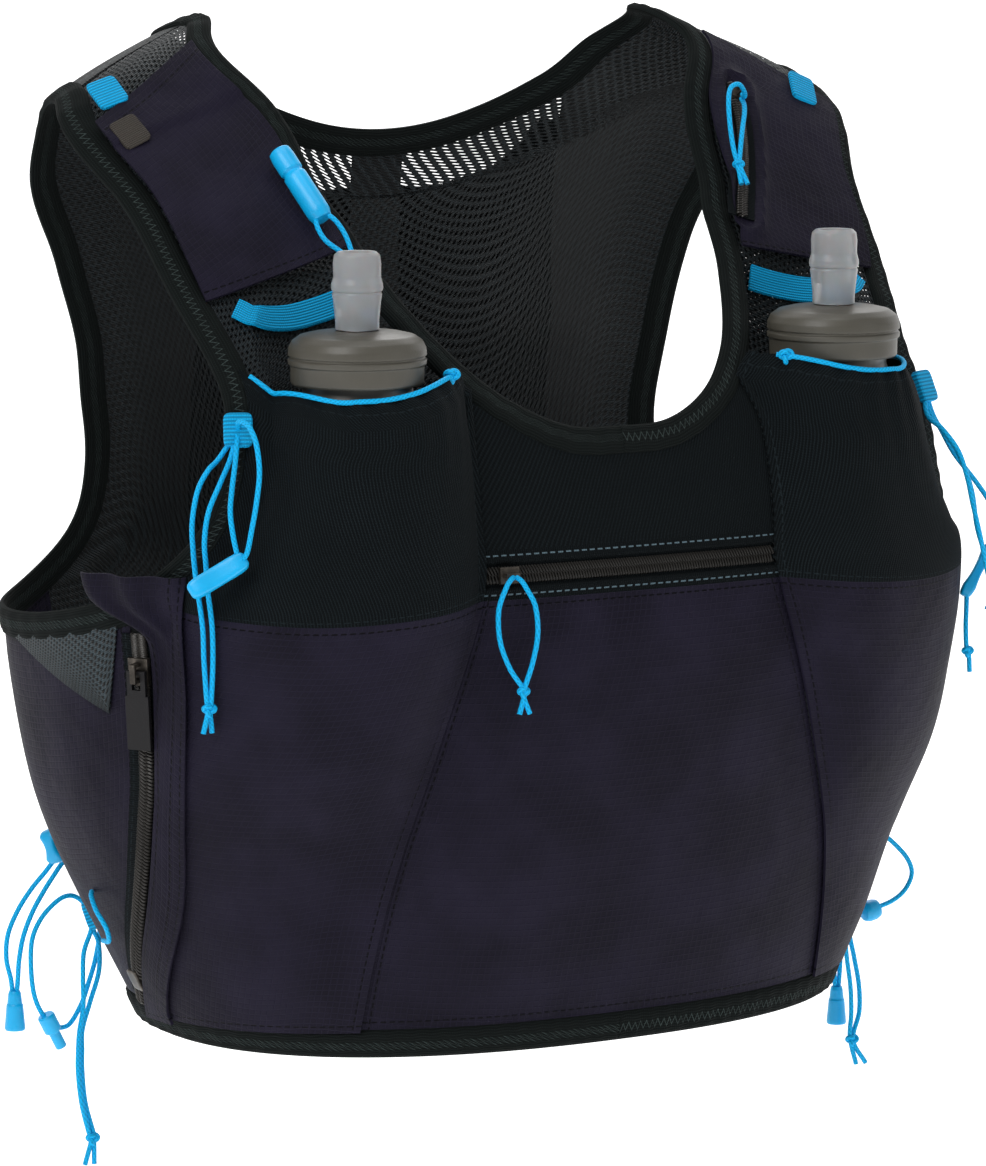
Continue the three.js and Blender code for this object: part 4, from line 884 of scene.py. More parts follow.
def braided(name, colour):
    """Braided cord cover: two sets of yarns that cross round it, flecked dark."""
    g = Graph(name)
    coordinate = g.node("ShaderNodeTexCoord").outputs["UV"]
    split = g.node("ShaderNodeSeparateXYZ")
    g.put(split.inputs[0], coordinate)
    turns = g.node("ShaderNodeAttribute", attribute_type="OBJECT", attribute_name="turns").outputs["Fac"]
    along = g.math("MULTIPLY", split.outputs[0], turns)
    one = g.wave(g.math("MULTIPLY_ADD", split.outputs[1], 4.0, along), 1.0)
    two = g.wave(g.math("MULTIPLY_ADD", split.outputs[1], -4.0, along), 1.0)
    weave = g.math("MAXIMUM", one, two)
    fleck = g.math("MULTIPLY", g.ramp(one, 0.2, 0.0), 0.3)
    base = g.mix(g.ramp(weave, 0.3, 0.95), tone(colour, 0.8), tone(colour, 1.1))
    base = g.mix(fleck, base, tone(colour, 0.5))
    return g.surface(base, weave, 0.00010, roughness=0.6, specular_ior_level=0.2)


def webbing(name, colour, pitch):
    """Ribbed webbing."""
    g = Graph(name)
    s, t = g.uv("near")
    rib = g.wave(t, pitch)
    base = g.mix(rib, tone(colour, 0.5), tone(colour, 1.1))
    weave = g.math("MULTIPLY", rib, g.wave(s, PICK_PITCH))
    return g.surface(base, g.math("ADD", rib, weave), 0.00025, roughness=0.7, specular_ior_level=0.2)


def moulded(name, colour, rough, grain, depth, **values):
    g = Graph(name)
    base = g.mix(g.noise(0.012), tone(colour, 0.85), tone(colour, 1.2))
    return g.surface(base, g.noise(grain, 2.0), depth, roughness=rough, **values)


def metal(name, colour, rough):
    g = Graph(name)
    base = g.mix(g.ramp(g.noise(0.004), 0.35, 0.7), tone(colour, 0.6), tone(colour, 1.8))
    return g.surface(base, g.noise(0.0008), 0.00003, roughness=rough, metallic=0.75)


def silicone(name):
    """Milky bite valve: light passes in and scatters."""
    g = Graph(name)
    base = g.mix(g.noise(0.01), (0.40, 0.41, 0.43), (0.56, 0.58, 0.60))
    return g.surface(
        base, g.noise(0.0015), 0.00003, roughness=0.28, transmission_weight=0.55, ior=1.41,
        subsurface_weight=0.2)


def paper(name, colour):
    g = Graph(name)
    base = g.mix(g.noise(0.8), colour, tone(colour, 0.97))
    return g.surface(
        base, g.noise(0.002), 0.00001, roughness=0.9, specular_ior_level=0.1, emission_color=(1, 1, 1, 1),
        emission_strength=0.62)


# Cloth pieces
SIDES = (("left", 1), ("right", -1))


def level_front(z):
    """A level line across the front, from seam to seam."""
    angle = float(angle_at(beside(front_seam, -UNDER_SEAM), z))
    return straight((-angle, z), (angle, z))


def front_panel(top, bottom, start, end):
    """A panel between the two front seams."""
    side = between(beside(front_seam, -UNDER_SEAM), start, end)
    return patch(top, bottom, mirrored(side), side)


def yoke_top(u):
    """The yoke's upper edge, along the neck from corner to corner."""
    place = neck_cloth(1 + yoke_corner * (2 * np.asarray(u, float) - 1))
    return np.stack([np.where(place[..., 0] > 180, place[..., 0] - 360, place[..., 0]), place[..., 1]], -1)


def make_straps():
    black = settings().black
    strap_cloth = meshed("strap_mesh", black, 2.9, 1.3)
    bottom = -0.78 * HEIGHT
    inner = joined(
        (stretch(neck_cloth, neck_ridge - RIDGE_GAP, yoke_corner), 0.5),
        (stretch(front_seam, seam_top, find(front_seam, 1, bottom)), 0.5))
    outer = joined(
        (stretch(arm_cloth, RIDGE_GAP, arm_stop(5)), 0.5),
        (straight(arm_cloth(arm_stop(5)), (60, bottom)), 0.5))
    strap = patch(straight(inner(0.0), outer(0.0)), straight(inner(1.0), outer(1.0)), inner, outer)
    for side, sign in SIDES:
        cloth(f"strap_{side}", on_side(strap, sign), strap_face, strap_cloth,
              f"shoulder_strap_{side}")


def make_front():
    black, aubergine = settings().black, settings().aubergine
    yoke = front_panel(yoke_top, level_front(-ZIP_TOP), neck_cloth(yoke_corner)[1], -ZIP_TOP)
    ribs = ribbed("yoke_stretch", black, 1.5, 0.5, [("left", 2.0), ("right", 2.0)])
    cloth("yoke", yoke, flat, ribs, "front_yoke")

    tape = ribbed("front_zip_tape", black, 0.9, 0.0, [("top", 2.0), ("bottom", 2.0)], 1.6, 30.0)

    def band(u, v):
        z = -ZIP_TOP + (ZIP_TOP - ZIP_BOTTOM) * v
        angle = angle_at(beside(front_seam, -UNDER_SEAM), z)
        return np.stack([angle * (2 * u - 1), z], -1)

    def fold(u, v, points):
        """A raised fold on both sides of the coil, which lies in a groove."""
        gap = np.abs(v - 0.5)
        return 0.0009 * np.exp(-((gap - 0.29) / 0.05) ** 2) - 0.0007 * (gap < 0.24)

    cloth("front_zip_band", band, flat, tape, "front_zip", cells=(120, 60), relief=fold)

    centre = front_panel(level_front(-ZIP_BOTTOM), level_front(hem_cloth), -ZIP_BOTTOM, hem_cloth)
    silk = ripstop("centre_ripstop", aubergine, [
        ("left", 6.0), ("right", 6.0), ("top", 2.2), ("bottom", 3.0)])
    cloth("centre", centre, pouch_face, silk, "centre_pouch", relief=creased(0.0012, 0.075, 3))


def side_pocket(clear):
    """The side pocket's map, its rear edge a distance clear of the side zip."""
    zip_side = beside(side_zip, clear)
    front = between(front_seam, float(pouch_line(0.0)[1]), hem_cloth)
    head = find(arm_cloth, 0, zip_side(0.12)[0], arm_stop(5), arm_stop(8))
    top = joined((pouch_line, 0.8), (stretch(arm_cloth, pouch_end, head), 0.2))
    back = between(zip_side, float(arm_cloth(head)[1]), hem_cloth)
    return patch(top, straight(front(1.0), back(1.0)), front, back)


def side_panel(clear):
    """The panel's map from the side zip to the back, its front edge clear of the zip."""
    zip_side = beside(side_zip, -clear)
    head = find(arm_cloth, 0, zip_side(0.14)[0], arm_stop(5), arm_stop(8))
    front = between(zip_side, float(arm_cloth(head)[1]), hem_cloth)
    back = between(back_seam, float(arm_cloth(back_corner)[1]) - 0.001, hem_cloth)
    top = stretch(arm_cloth, head, back_corner)
    return patch(top, straight(front(1.0), back(1.0)), front, back)


def make_sides():
    aubergine = settings().aubergine
    pocket_silk = ripstop("pocket_ripstop", aubergine, [
        ("left", 3.0), ("top", 2.5), ("bottom", 3.0), ("right", 3.5)])
    panel_silk = ripstop("panel_ripstop", aubergine, [
        ("left", 4.0), ("top", 3.0), ("bottom", 3.0), ("right", 3.0)])
    for side, sign in SIDES:
        seed = 5 + sign
        clear = COIL_WIDTH / 2 + 0.0016 if side == "right" else 0.0
        cloth(f"side_front_{side}", on_side(side_pocket(clear), sign), pocket_face, pocket_silk,
              f"side_pocket_{side}", relief=creased(0.0014, 0.06, seed))
        cloth(f"side_back_{side}", on_side(side_panel(clear or -UNDER_SEAM), sign), flat, panel_silk,
              f"side_panel_{side}", relief=creased(0.0009, 0.07, seed + 9))


def make_side_mesh():
    """The knit triangle under each arm, sewn over the side panel below the binding."""
    net = meshed("side_knit", settings().black, 2.3, 1.5, 13.0, (1.0, 1.0))
    rear, front, foot = (93, -0.2235), (71.5, -0.2085), (75, -0.246)
    ends = [find(arm_cloth, 0, corner[0], arm_stop(5), arm_stop(9)) for corner in (front, rear)]
    triangle = patch(
        stretch(arm_cloth, *ends), straight(foot, foot), straight(front, foot), straight(rear, foot))
    for side, sign in SIDES:
        cloth(f"side_knit_{side}", on_side(triangle, sign), thicker(flat, CLOTH + 0.0004), net,
              thick=0.0007, cells=(40, 40))


def mouth():
    """The bottle pocket's mouth, from the neck side to the arm side, and the pocket's neck line."""
    at_neck = find(neck_cloth, 1, -0.34 * HEIGHT, 0.03, neck_ridge)
    at_arm = find(arm_cloth, 1, -0.325 * HEIGHT, arm_stop(1.5), arm_stop(4))
    stops = [(33, 0.358), (38, 0.374), (44, 0.378), (49, 0.37)]
    return line([share_of(neck_cloth(at_neck)), *stops, share_of(arm_cloth(at_arm))]), at_neck, at_arm


def make_bottle_pockets():
    black = settings().black
    edge, at_neck, at_arm = mouth()
    corner = find(neck_cloth, 0, front_seam(seam_top + 0.03)[0], 0.03, neck_ridge)
    seam = joined(
        (stretch(neck_cloth, at_neck, corner), 0.12),
        (between(front_seam, float(neck_cloth(corner)[1]) - 0.0005, float(pouch_line(0.0)[1])), 0.88))
    pocket = patch(edge, pouch_line, seam, stretch(arm_cloth, at_arm, pouch_end))
    ribs = ribbed("bottle_stretch", black, 1.25, 0.35, [("top", 5.2), ("left", 3.0), ("bottom", 2.5)], 2.6)

    def gathers(u, v, points):
        """Creases, with the gathers of the corded mouth along the top."""
        return 0.0007 * np.exp(-v * 5) * np.sin(u * 60) + 0.0010 * waves(points, 0.05, 7) * edges(u, v)

    for side, sign in SIDES:
        cloth(f"bottle_cloth_{side}", on_side(pocket, sign), pocket_face, ribs,
              f"bottle_pocket_{side}", relief=gathers)


def make_back():
    black = settings().black
    ridge = neck_ridge + RIDGE_GAP
    start = straight(neck_cloth(ridge), arm_cloth(1 - RIDGE_GAP))
    side = between(back_seam, float(arm_cloth(back_corner)[1]) - 0.0015, hem_cloth)
    edge = joined(
        (start, 1 / 14), (stretch(arm_cloth, 1 - RIDGE_GAP, back_corner), 7 / 14), (side, 6 / 14))
    top = stretch(neck_cloth, ridge, 1 - ridge)
    panel = patch(top, straight(edge(1.0), around(edge)(1.0)), edge, around(edge))
    net = meshed("back_mesh", black, 3.1, 0.75, lined=(0.011, 0.08))
    cloth("back", panel, flat, net, "back_panel", cells=(170, 150))

    pocket_edge = joined(
        (stretch(arm_cloth, arm_stop(13.1), back_corner + 0.01), 0.42),
        (between(back_seam, float(arm_cloth(back_corner + 0.01)[1]) - 0.008, hem_cloth), 0.58))
    half = line([share_of(pocket_edge(0.0))] + BACK_POCKET_EDGE)
    pocket_top = joined((half, 0.5), (lambda t: around(half)(1 - np.asarray(t, float)), 0.5))
    far_edge = around(pocket_edge)
    pocket = patch(pocket_top, straight(pocket_edge(1.0), far_edge(1.0)), pocket_edge, far_edge)
    dense = meshed("back_pocket_stretch", black, 1.9, 2.75)
    cloth("back_cloth", pocket, back_face, dense, "back_pocket", cells=(160, 120),
          relief=creased(0.001, 0.08, 21))


SHOULDER_INSET = 0.0095


def shoulder_map(inner_top, inner_bottom, outer_top, outer_bottom):
    """The shoulder between the neck and arm bindings, from four shares of HEIGHT."""
    def side(edge, top, bottom, start, end):
        at = beside(edge, SHOULDER_INSET)
        return stretch(at, *[find(at, 1, -share * HEIGHT, start, end) for share in (top, bottom)])

    inner = side(neck_edge, inner_top, inner_bottom, yoke_corner, neck_ridge)
    outer = side(arm_edge, outer_top, outer_bottom, 0, arm_stop(4))
    return patch(straight(inner(0.0), outer(0.0)), straight(inner(1.0), outer(1.0)), inner, outer)


pocket_zip = line([(75, 0.085), (68.5, 0.135), (62, 0.175), (53, 0.218)])


def make_shoulders():
    aubergine = settings().aubergine
    silk = ripstop("shoulder_ripstop", aubergine, [("top", 6.0), ("bottom", 3.0)])
    crease = creased(0.0009, 0.04, 13)

    def hem(u, v, points):
        """Creases under a doubled hem at the top."""
        return crease(u, v, points) + 0.0014 * np.clip((0.155 - v) / 0.012, 0, 1)

    cloth("pouch_cloth", on_side(shoulder_map(0.03, 0.225, 0.105, 0.265), -1), shoulder_face, silk,
          "shoulder_pouch_right", relief=hem)
    plain = ripstop("zipped_ripstop", tone(aubergine, 0.9), [("bottom", 1.5), ("top", 2.5)])

    def groove(u, v, points):
        """A raised fold on both sides of the zip, which lies in a groove."""
        middle = pocket_zip(np.linspace(0, 1, 60))
        line_points = form_point(middle[:, 0], middle[:, 1])
        gap = np.linalg.norm(points[..., None, :] - line_points, axis=-1).min(-1)
        return 0.0022 * np.exp(-((gap - 0.0066) / 0.0018) ** 2) - 0.0005 * (gap < 0.0045)

    cloth("zipped_cloth", shoulder_map(0.03, 0.24, 0.105, 0.265), shoulder_face, plain,
          "shoulder_pocket_left", relief=groove)


BINDING_COLOUR = (0.005, 0.0068, 0.0066)


def make_bindings():
    width = settings().binding_width
    band = elastic("binding_elastic", BINDING_COLOUR, width)

    def wrap(name, place, cells, node):
        u, v = np.meshgrid(np.linspace(0, 1, cells + 1), np.linspace(0, 1, 9))
        angle, z = np.moveaxis(place(u, v), -1, 0)
        round_off = (1 - np.abs(2 * v - 1) ** 5) ** 0.5
        pull = 1 + 0.16 * np.cos(u * cells * 2 * np.pi / 6)
        base, normal = form_point(angle, z), form_normal(angle, z)
        outer = base + normal * (CLOTH + BINDING_PROUD * 1.35 * round_off * pull)[..., None]
        inner = base - normal * (BINDING_PROUD * round_off)[..., None]
        made = closed_shell(name, outer, inner, band)
        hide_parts(node)

    wrap("neck_band", ribbon(neck_edge, width), 460, "neck_binding")
    for side, sign in SIDES:
        wrap(f"arm_band_{side}", on_side(ribbon(arm_edge, width), sign), 330, f"arm_binding_{side}")
    wrap("hem_band", lambda u, v: np.stack([360 * u, -HEIGHT + width * v], -1), 560, "hem_binding")


# Placed pieces
def placed(angle, z, out=0.0, lean=0.0):
    """A spot on the form: its point and its axes across, up and out, leaned about the outward one."""
    normal = form_normal(np.array(angle, float), np.array(z, float))
    sideways = unit(np.cross([0, 0, 1.0], normal))
    up = np.cross(normal, sideways)
    c, s = math.cos(math.radians(lean)), math.sin(math.radians(lean))
    point = form_point(np.array(angle, float), np.array(z, float)) + normal * out
    return point, np.stack([sideways * c + up * s, up * c - sideways * s, normal])


PILLOW_CELLS = 28
HOOK_SIZE = (0.0072, 0.0235, 0.0052)
HOOK_START = 0.003  # how far the hook's body reaches back over the cord's end


def pillow(name, spot, size, material, node=None, power=5.0, dent=0.0):
    """A box with soft edges: the superellipsoid |x|^p + |y|^p + |z|^p = 1, stretched to its size."""
    point, axes = spot
    turn, tilt = np.meshgrid(
        np.linspace(0, 2 * np.pi, 2 * PILLOW_CELLS + 1), np.linspace(-np.pi / 2, np.pi / 2, PILLOW_CELLS + 1))
    ray = np.stack([np.cos(tilt) * np.cos(turn), np.cos(tilt) * np.sin(turn), np.sin(tilt)], -1)
    reach = (np.abs(ray) ** power).sum(-1) ** (-1 / power)
    shape = ray * reach[..., None]
    shape[..., 2] *= 1 - dent * (1 - np.clip(np.abs(shape[..., 1]) * 1.6, 0, 1) ** 2)
    local = shape * np.array(size) / 2
    distances = (local[..., :2] + np.array(size[:2]) / 2).reshape(-1, 2)
    vertices = (point + local @ axes).reshape(-1, 3)
    made = mesh_object(name, vertices, grid_quads(*turn.shape, flip=True), distances, distances, material)
    if node:
        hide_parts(node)
    return made


def bar(name, base, along, material, node):
    """A flat bar with soft edges that runs on from a cord's end, its broad side away from the wearer."""
    up = unit(np.array(along))
    away = np.array([base[0], base[1] + 0.05, 0])
    outward = unit(np.cross(np.cross(up, away), up))
    middle = np.array(base) + up * (HOOK_SIZE[1] / 2 - HOOK_START)
    return pillow(name, (middle, np.stack([np.cross(up, outward), up, outward])), HOOK_SIZE, material, node,
                  dent=0.3)


def turned(name, outline, base, along, material, node, slot, sides, steps):
    """A body turned about an axis from a profile of radius and distance, with rows between its stops."""
    outline = np.asarray(outline, float)
    shares = np.linspace(0.06, 0.94, steps)[:, None]
    fine = [here + (there - here) * shares for here, there in zip(outline[:-1], outline[1:])]
    rows = np.concatenate([outline[:1], *fine, outline[-1:]])
    axis = unit(np.array(along, float))
    helper = np.array([0, 0, 1.0]) if abs(axis[2]) < 0.9 else np.array([1.0, 0, 0])
    first = unit(np.cross(helper, axis))
    second = np.cross(axis, first)
    turn = np.linspace(0, 2 * np.pi, sides + 1)
    radius = np.maximum(rows[:, :1], 1e-6)
    ring = np.cos(turn)[:, None] * first + np.sin(turn)[:, None] * second
    points = np.array(base) + rows[:, 1, None, None] * axis + radius[..., None] * ring
    travelled = np.concatenate([[0], np.cumsum(np.linalg.norm(np.diff(rows, axis=0), axis=1))])
    distances = np.stack(np.broadcast_arrays(turn * 0.01, travelled[:, None]), -1).reshape(-1, 2)
    quads = grid_quads(*points.shape[:2])
    made = mesh_object(name, points.reshape(-1, 3), quads, distances, distances, material)
    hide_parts(node)
    return made


# Flasks
FLASK_STATIONS = (0.388, 0.42, 0.49, 0.57, 0.65, 0.7, 0.73)  # shares of HEIGHT
FLASK_WIDTHS = (0.88, 1, 1, 1, 0.93, 0.75, 0.45)  # shares of the widest
FLASK_FACING = math.radians(43)
flask_width = profile(list(zip(FLASK_STATIONS, FLASK_WIDTHS)))
VALVE_RISE = 0.0126  # above the flask's rim
BOTTLE_BAND = [(60, 0.279), (57.5, 0.287), (54, 0.283), (50, 0.274), (46, 0.2655)]
BOTTLE_BAND_WIDTH = 0.008
# Turned profiles, in metres: radius and distance along the axis
CAP = [
    (0.0, 0.0123), (0.0105, 0.0123), (0.0160, 0.0118), (0.0208, 0.0107), (0.0236, 0.0087),
    (0.0248, 0.0062), (0.025, 0.0036), (0.0243, 0.0031), (0.0243, 0.0026), (0.025, 0.0020),
    (0.0249, 0.0004), (0.0241, -0.0002), (0.0240, -0.0062), (0.0235, -0.007), (0.0215, -0.007),
]
VALVE = [
    (0.0, 0.008), (0.0054, 0.008), (0.0054, 0.027), (0.006, 0.0279), (0.007, 0.028), (0.0083, 0.0268),
    (0.0087, 0.024), (0.0086, 0.019), (0.0093, 0.0165), (0.0094, 0.0152), (0.0092, 0.0142),
    (0.0087, 0.0136), (0.0090, 0.0128), (0.0086, 0.0100), (0.0080, 0.004), (0.0079, 0.0), (0.0, 0.0),
]


def flask_rows():
    """The left flask, row by row: a round neck, a shoulder, a body that fills its pocket, and a foot."""
    turn = np.linspace(0, 2 * np.pi, 49)
    c, s = np.cos(turn), np.sin(turn)
    z = -(np.linspace(FLASK_STATIONS[0], FLASK_STATIONS[-1], 40) * HEIGHT)[:, None]
    middle = flask_middle(z)
    back = strap_face(middle, z) + CLOTH + FLASK_CLEAR
    front = pocket_face(middle, z) - FLASK_CLEAR
    reach = FLASK_FILL * flask_width(z) * np.where(c < 0, inward_reach(z), outward_reach(z))
    angle, height = np.broadcast_arrays(middle + c * reach, z)
    off = (back + front + s * (front - back)) / 2
    body = form_point(angle, height) + form_normal(angle, height) * off[..., None]
    along = np.array([math.cos(FLASK_FACING), math.sin(FLASK_FACING), 0])
    outward = np.array([math.sin(FLASK_FACING), -math.cos(FLASK_FACING), 0])
    rim = np.array([*NECK_AXIS, 0]) + NECK_RADIUS * (c[:, None] * along + s[:, None] * outward)
    neck = np.stack([rim + np.array([0, 0, -FLASK_TOP - drop]) for drop in (0, 0.004, 0.009)])
    blend = np.linspace(0.15, 0.85, 6)
    ease = (blend * blend * (3 - 2 * blend))[:, None, None]
    shoulder = neck[-1] * (1 - ease) + body[0] * ease
    centre = body[-1].mean(0)
    foot = centre + (body[-1] - centre) * np.array([0.6, 0.2])[:, None, None]
    foot[..., 2] -= np.array([0.003, 0.004])[:, None]
    return np.concatenate([neck, shoulder, body, foot])


def make_flasks():
    olive = settings().olive
    film = moulded("flask_film", tone(olive, 0.75), 0.35, 0.02, 0.0004, transmission_weight=0.15)
    lid = moulded("cap_plastic", olive, 0.42, 0.0008, 0.00005)
    milk = silicone("valve_silicone")
    band_cloth = webbing("band_webbing", settings().blue, 1.0)
    rows = flask_rows()
    distances = np.zeros((rows.shape[0] * rows.shape[1], 2))
    band = ribbon(line(BOTTLE_BAND), BOTTLE_BAND_WIDTH)
    loose = thicker(strap_face, TOP_LAYER + 0.0007)
    for side, sign in SIDES:
        vertices = (rows * np.array([sign, 1, 1])).reshape(-1, 3)
        quads = grid_quads(*rows.shape[:2], flip=sign < 0)
        made = mesh_object(f"bottle_{side}", vertices, quads, distances, distances, film)
        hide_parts(f"flask_{side}")
        base = (sign * NECK_AXIS[0], NECK_AXIS[1], -FLASK_TOP)
        turned(f"cap_{side}", CAP, base, (0, 0, 1), lid, f"flask_cap_{side}", "cap", 96, 4)
        seat = (base[0], base[1], -FLASK_TOP + VALVE_RISE)
        turned(f"valve_{side}", VALVE, seat, (0, 0, 1), milk, f"bite_valve_{side}", "valve", 64, 4)
        cloth(f"band_{side}", on_side(band, sign), loose, band_cloth, f"bottle_band_{side}",
              thick=0.0012, cells=(60, 16))


# Zips
LOOP_STEPS = 14  # of a coil's wire
WIRE_SHARE = 0.36  # the wire's radius as a share of the coil's pitch
SKEW = 1e-4  # keeps the wire's direction and the coil's from being parallel


def coil(name, at, face, width, rise, pitch, material, sign=1):
    """Two mirrored flattened helices side by side along a line: the teeth of a coil zip."""
    points = form_point(*np.moveaxis(at(np.linspace(0, 1, 400)), -1, 0))
    length = np.linalg.norm(np.diff(points, axis=0), axis=1).sum()
    loops = int(length / pitch)
    t = np.linspace(0, 1, loops * LOOP_STEPS + 1)
    angle, z = np.moveaxis(at(t), -1, 0)
    centre = form_point(angle, z)
    normal = form_normal(angle, z)
    travel = unit(np.gradient(centre, axis=0))
    across = unit(np.cross(travel, normal))
    ring = np.linspace(0, 2 * np.pi, 7)
    for half, hand in (("a", 1), ("b", -1)):
        turn = 2 * np.pi * loops * t + (np.pi if hand < 0 else 0)
        lean = travel * (hand * pitch * 0.5 * np.cos(turn))[:, None]
        out = face(angle, z) + rise / 2 + rise / 2 * np.sin(turn)
        wide = hand * width / 4 + hand * width / 4 * np.cos(turn)
        spine = centre + across * wide[:, None] + normal * out[:, None] + lean
        ahead = unit(np.gradient(spine, axis=0))
        side = unit(np.cross(ahead, travel + SKEW))
        other = np.cross(ahead, side)
        round_it = np.cos(ring)[:, None] * side[:, None] + np.sin(ring)[:, None] * other[:, None]
        tube = (spine[:, None] + pitch * WIRE_SHARE * round_it) * np.array([sign, 1, 1])
        distances = np.zeros((tube.shape[0] * tube.shape[1], 2))
        quads = grid_quads(*tube.shape[:2], flip=sign < 0)
        made = mesh_object(f"{name}_{half}", tube.reshape(-1, 3), quads, distances, distances, material)


PLACKET_TOP = -0.515 * HEIGHT


def make_zips():
    black, bronze = settings().black, settings().bronze
    teeth = moulded("coil_bronze", tone(bronze, 1.3), 0.35, 0.0008, 0.00003, metallic=0.35)
    dark = moulded("coil_dark", (0.0085, 0.0075, 0.006), 0.45, 0.0008, 0.00003, specular_ior_level=0.3)
    tape = ribbed("side_zip_tape", black, 0.9, 0.0, [("top", 1.4), ("bottom", 1.4)], 2.2)
    run = between(side_zip, -0.575 * HEIGHT, hem_cloth + 0.004)
    band = ribbon(beside(run, -TAPE_WIDTH / 2), TAPE_WIDTH)
    cloth("side_tape", on_side(band, -1), flat, tape, "side_zip", TAPE + 0.0009, (150, 12))
    coil("side_teeth", run, thicker(flat, 0.0019), COIL_WIDTH, 0.0014, 0.00135, teeth, -1)

    middle_z = -(ZIP_TOP + ZIP_BOTTOM) / 2
    across = straight((-26.6, middle_z), (26.6, middle_z))
    coil("front_teeth", across, thicker(flat, 0.0004), 0.0058, 0.0008, 0.00115, dark)

    zip_face = thicker(shoulder_face, CLOTH + 0.0002)
    fine_tape = ribbed("shoulder_zip_tape", black, 0.7, contrast=2.0)
    cloth("shoulder_tape", ribbon(beside(pocket_zip, -0.0035), 0.011), zip_face, fine_tape,
          "shoulder_zip", 0.0003, (120, 8))
    coil("shoulder_teeth", beside(pocket_zip, 0.002), thicker(zip_face, 0.0003), FINE_COIL, 0.0012,
         0.00115, teeth)
    make_placket()
    make_sliders()


def make_placket():
    """The flap beside the side zip, its head flared and folded."""
    silk = ripstop("placket_ripstop", settings().aubergine, [
        ("left", 2.0), ("left", 6.0), ("right", 2.0), ("bottom", 2.5)])
    front_edge, rear_edge = line(PLACKET_EDGE), beside(side_zip, COIL_WIDTH / 2 + 0.0024)

    def place(u, v):
        z = PLACKET_TOP + (hem_cloth - PLACKET_TOP) * v
        front, rear = angle_at(front_edge, z), angle_at(rear_edge, z)
        rear = rear + 7.5 * np.exp(-((v / 0.1) ** 4))
        return np.stack([front + (rear - front) * u, z], -1)

    def flare(u, v, points):
        head = np.exp(-((v / 0.13) ** 2))
        folds = 0.0016 * np.sin(u * 15 + 5 * v) + 0.002 * np.sin(u * 3.1)
        return head * folds + 0.0008 * waves(points, 0.035, 31) * np.clip(v * 6, 0, 1)

    cloth("placket", on_side(place, -1), thicker(pocket_face, CLOTH + 0.001), silk, "zip_placket",
          relief=flare)


def make_sliders():
    """The sliders and the pull tab keep their CAD meshes; the zip's end box is made here."""
    lacquer = metal("slider_lacquer", (0.06, 0.052, 0.044), 0.38)
    pull = moulded("tab_plastic", (0.010, 0.0095, 0.0105), 0.5, 0.0007, 0.00008, specular_ior_level=0.2)
    kept = {name: lacquer for name in ("side_zip_slider", "front_zip_slider", "shoulder_zip_slider")}
    for node, material in {**kept, "side_zip_tab": pull}.items():
        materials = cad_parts[node].data.materials
        materials.clear()
        materials.append(material)
    box = placed(-float(angle_at(side_zip, -0.352)), -0.352, 0.0033)
    pillow("zip_box", box, (0.0072, 0.0085, 0.0026), lacquer, power=7)


# Trims
TABS = {  # angle, height, distance out; size
    "hem_sewn_right": ((-113, -0.339, 0.0086), (0.008, 0.012, 0.006)),
    "hem_sewn_left": ((86, -0.331, 0.0056), (0.008, 0.012, 0.004)),
    "lock_right": ((-110, -0.311, 0.0096), (0.013, 0.0135, 0.008)),
    "lock_left": ((99, -0.318, 0.0066), (0.013, 0.0135, 0.008)),
}
CHEST_TAB = (56, -0.1425, 0.0049)


def make_trims():
    blue = settings().blue
    strap_webbing = webbing("loop_webbing", blue, 1.4)
    gloss = moulded("trim_plastic", tone(blue, 0.9), 0.38, 0.0009, 0.00006)
    woven = webbing("label_weave", (0.07, 0.061, 0.052), 0.8)
    sewn = thicker(shoulder_face, CLOTH + 0.0011)

    def at(angle, z, lean):
        return placed(angle, z, float(sewn(np.array(angle), np.array(z))), lean)

    loop_size = (0.0115, 0.0145, 0.002)
    pillow("loop_right", at(-83.5, -0.029, 30), loop_size, strap_webbing, "webbing_loop_right", power=8)
    pillow("loop_left", at(80.5, -0.035, -30), loop_size, strap_webbing, "webbing_loop_left", power=8)
    pillow("blank_label", at(-79, -0.043, 30), (0.0112, 0.0125, 0.0018), woven, "size_label", 8)
    for side, sign in SIDES:
        angle, z, out = CHEST_TAB
        pillow(f"chest_sewn_{side}", placed(sign * angle, z, out), (0.0105, 0.0125, 0.0036), strap_webbing,
               f"chest_tab_{side}", power=6)
    for side in ("right", "left"):
        spot, size = TABS[f"hem_sewn_{side}"]
        pillow(f"hem_sewn_{side}", placed(*spot), size, strap_webbing, f"hem_tab_{side}")
    for side in ("right", "left"):
        spot, size = TABS[f"lock_{side}"]
        pillow(f"lock_{side}", placed(*spot), size, gloss, f"cinch_lock_{side}", power=4, dent=0.35)


# Cords
BRAID_TURN = 0.0021  # of a cord's length to one turn of its braid
STEPS_PER_STOP = 16
